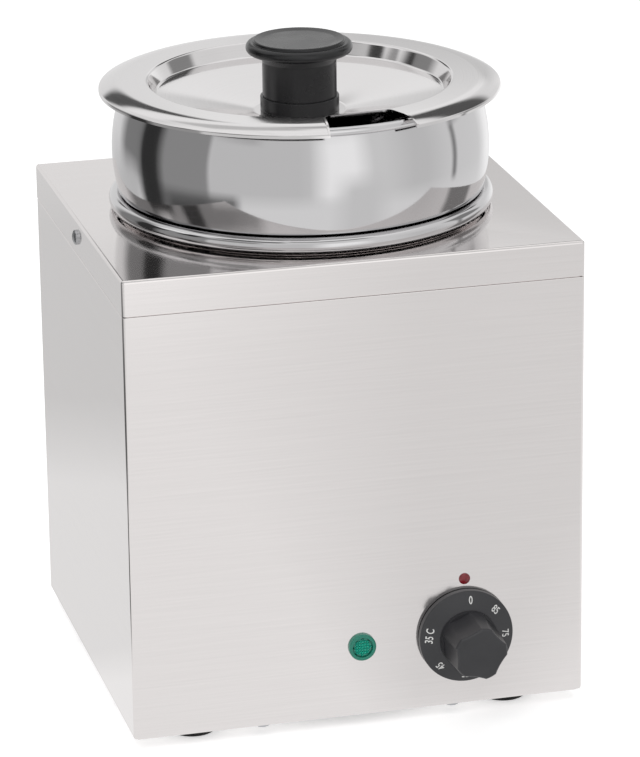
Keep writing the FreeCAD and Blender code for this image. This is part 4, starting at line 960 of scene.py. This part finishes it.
def studio_dome():
    """Screens round the set that only metal and gloss see: white ones, and dark ones between."""
    middle = Vector((0, 0, 0.28))
    base_tone = 0.85
    # Azimuth from the front, width, elevation, height and soft edge in degrees, and brightness.
    # A later screen stands in front of an earlier one.
    screens = [
        # Ceiling, and broad screens round the front and the right for the pot's belly
        (0, 360, 72, 44, 8, 1.0),
        (-40, 70, -2, 84, 20, 0.73),
        (10, 26, 2, 44, 12, 1.2),
        (60, 30, -2, 60, 20, 0.73),
        (136, 22, -10, 40, 14, 1.1),
        # Dark flags over the front and towards both edges of the pot
        (10, 70, 58, 12, 5, 0.3),
        (-134, 26, 4, 66, 12, 0.27),
        (88, 4, -5, 24, 3, 0.3),
        (100, 26, 20, 26, 5, 0.28),
        # Behind the set, for the lid's slope, recess and bowl
        (158, 16, 9, 18, 6, 0.66),
        (165, 26, 28, 21, 3, 0.97),
        (168, 22, 44, 10, 4, 0.5),
        (142, 27, 36, 19, 4, 0.1),
        (-178, 21, 25, 11, 3, 0.1),
        (-178, 26, 38, 12, 5, 1.0),
        (178, 26, 50, 12, 4, 0.62),
        (-105, 24, 36, 14, 5, 1.2),
        # Under the middle, for the housing's sheets, which see the floor at a low angle
        (0, 360, -57, 76, 10, 0.93),
        (-130, 80, -57, 76, 20, 0.83),
        (22, 26, -36, 60, 14, 0.8),
        (-153, 50, -24, 22, 10, 0.66),
        # Dark flags on the left, for the pot's dark side and the cover in front of it
        (-88, 38, 2, 64, 3, 0.35),
        (-60, 42, 29, 17, 8, 0.3),
        (-112, 22, 21.5, 11, 3, 0.05),
        (-53, 52, 52, 18, 8, 0.12),
        (-86, 14, 30, 20, 4, 0.05),
        (-85, 68, -22, 10, 6, 0.2),
        (-114, 20, -2, 60, 7, 0.04),
        (-84, 30, -34, 26, 8, 0.08),
    ]
    outline = [(0.1, 0.003), (0.95, 0.006), (1.05, 0.08), (1.1, 0.45), (0.95, 0.95), (0.5, 1.35),
               (0.02, 1.5)]
    count = 96
    turns = [2 * math.pi * step / count for step in range(count)]
    points = [(r * math.sin(t), -r * math.cos(t), height) for r, height in outline for t in turns]
    corners = [(row * count + step, row * count + (step + 1) % count)
               for row in range(len(outline) - 1) for step in range(count)]
    mesh = bpy.data.meshes.new("studio_dome")
    mesh.from_pydata(points, [], [(a, b, b + count, a + count) for a, b in corners])
    dome = link("studio_dome", mesh)
    material, tree, place = new_material("studio_screens")

    def in_degrees(kind, *inputs):
        """Angle of an inverse function, such as ARCSINE, in degrees."""
        angle = add(tree, "ShaderNodeMath", dict(enumerate(inputs)), operation=kind)
        return add(tree, "ShaderNodeMath", {0: angle}, operation="DEGREES")

    def within(angle, centre, size, edge):
        """1 inside a range of angles and 0 outside it, with soft edges."""
        off = add(tree, "ShaderNodeMath", {0: angle, 1: centre}, operation="SUBTRACT")
        round_back = add(tree, "ShaderNodeMath", {0: off, 1: 180.0, 2: -180.0}, operation="WRAP")
        away = add(tree, "ShaderNodeMath", {0: round_back}, operation="ABSOLUTE")
        return add(tree, "ShaderNodeMapRange", {
            "Value": away, "From Min": (size - edge) / 2, "From Max": (size + edge) / 2,
            "To Min": 1.0, "To Max": 0.0})

    away = add(tree, "ShaderNodeVectorMath", {0: place, 1: middle}, operation="SUBTRACT")
    aim = add(tree, "ShaderNodeVectorMath", {0: away}, operation="NORMALIZE")
    parts = add(tree, "ShaderNodeSeparateXYZ", {"Vector": aim})
    front = add(tree, "ShaderNodeMath", {0: parts.outputs["Y"], 1: -1.0}, operation="MULTIPLY")
    azimuth = in_degrees("ARCTAN2", parts.outputs["X"], front)
    elevation = in_degrees("ARCSINE", parts.outputs["Z"])
    tone = base_tone
    for turn, width, rise, height, edge, brightness in screens:
        across = within(azimuth, turn, width, edge)
        upward = within(elevation, rise, height, edge)
        share = add(tree, "ShaderNodeMath", {0: across, 1: upward}, operation="MULTIPLY")
        tone = add(tree, "ShaderNodeMix", {0: share, 2: tone, 3: brightness}, data_type="FLOAT")
    glow = add(tree, "ShaderNodeEmission", {"Color": linear("#FFFFFF"), "Strength": tone})
    close_material(tree, glow)
    mesh.materials.append(material)
    dome.visible_camera = False
    dome.visible_diffuse = False
    dome.visible_shadow = False
    dome.visible_transmission = False


def studio_world():
    """White surroundings: full white for the camera, metal and glass, softer as light."""
    soft = 0.5
    world = bpy.data.worlds.new("white_studio")
    scene.world = world
    world.use_nodes = True
    tree = world.node_tree
    tree.nodes.clear()
    path = add(tree, "ShaderNodeLightPath")
    direct = add(tree, "ShaderNodeMath", {
        0: path.outputs["Is Camera Ray"], 1: path.outputs["Is Glossy Ray"]}, operation="MAXIMUM")
    seen = add(tree, "ShaderNodeMath", {0: direct, 1: path.outputs["Is Transmission Ray"]},
               operation="MAXIMUM")
    strength = add(tree, "ShaderNodeMapRange", {"Value": seen, "To Min": soft, "To Max": 1.0})
    sky = add(tree, "ShaderNodeBackground", {"Color": linear("#FFFFFF"), "Strength": strength})
    add(tree, "ShaderNodeOutputWorld", {"Surface": sky})


def softbox(name, place, size, power):
    """Square soft light that looks at the object's middle. Metres and watts."""
    target = Vector((0, 0, 0.15))
    data = bpy.data.lights.new(name, "AREA")
    data.shape = "RECTANGLE"
    data.size = data.size_y = size
    data.energy = power
    lamp = link(name, data)
    lamp.location = place
    lamp.rotation_mode = "QUATERNION"
    lamp.rotation_quaternion = (target - Vector(place)).to_track_quat("-Z", "Y")


def camera():
    """Camera at the photograph's angle: azimuth to the left of the front, then a small roll.

    Its place and lens are fitted to the housing's corners and the round rims in the photograph.
    """
    azimuth = math.radians(14.39)
    elevation = math.radians(18.84)
    roll = math.radians(-0.73)
    distance = 2.2226
    target = Vector((0.0086, 0.0, 0.1545))
    sensor = 36.0
    focal_pixels = 4183.9
    long_side_pixels = 757
    back = Vector((-math.sin(azimuth) * math.cos(elevation), -math.cos(azimuth) * math.cos(elevation),
                   math.sin(elevation)))
    data = bpy.data.cameras.new("camera")
    data.sensor_width = sensor
    data.lens = focal_pixels * sensor / long_side_pixels
    data.clip_start = 0.1
    data.clip_end = 50
    eye = link("camera", data)
    level = (-back).to_track_quat("-Z", "Y").to_matrix()
    eye.matrix_world = Matrix.Translation(target + back * distance) @ (
        level @ Matrix.Rotation(roll, 3, "Z")).to_4x4()
    scene.camera = eye


studio_floor()
studio_dome()
studio_world()
softbox("key_softbox", place=(-0.9, -1.3, 1.7), size=1.2, power=14)
softbox("top_softbox", place=(0.3, 0.5, 1.9), size=1.4, power=10)
camera()

scene.view_settings.view_transform = "Standard"
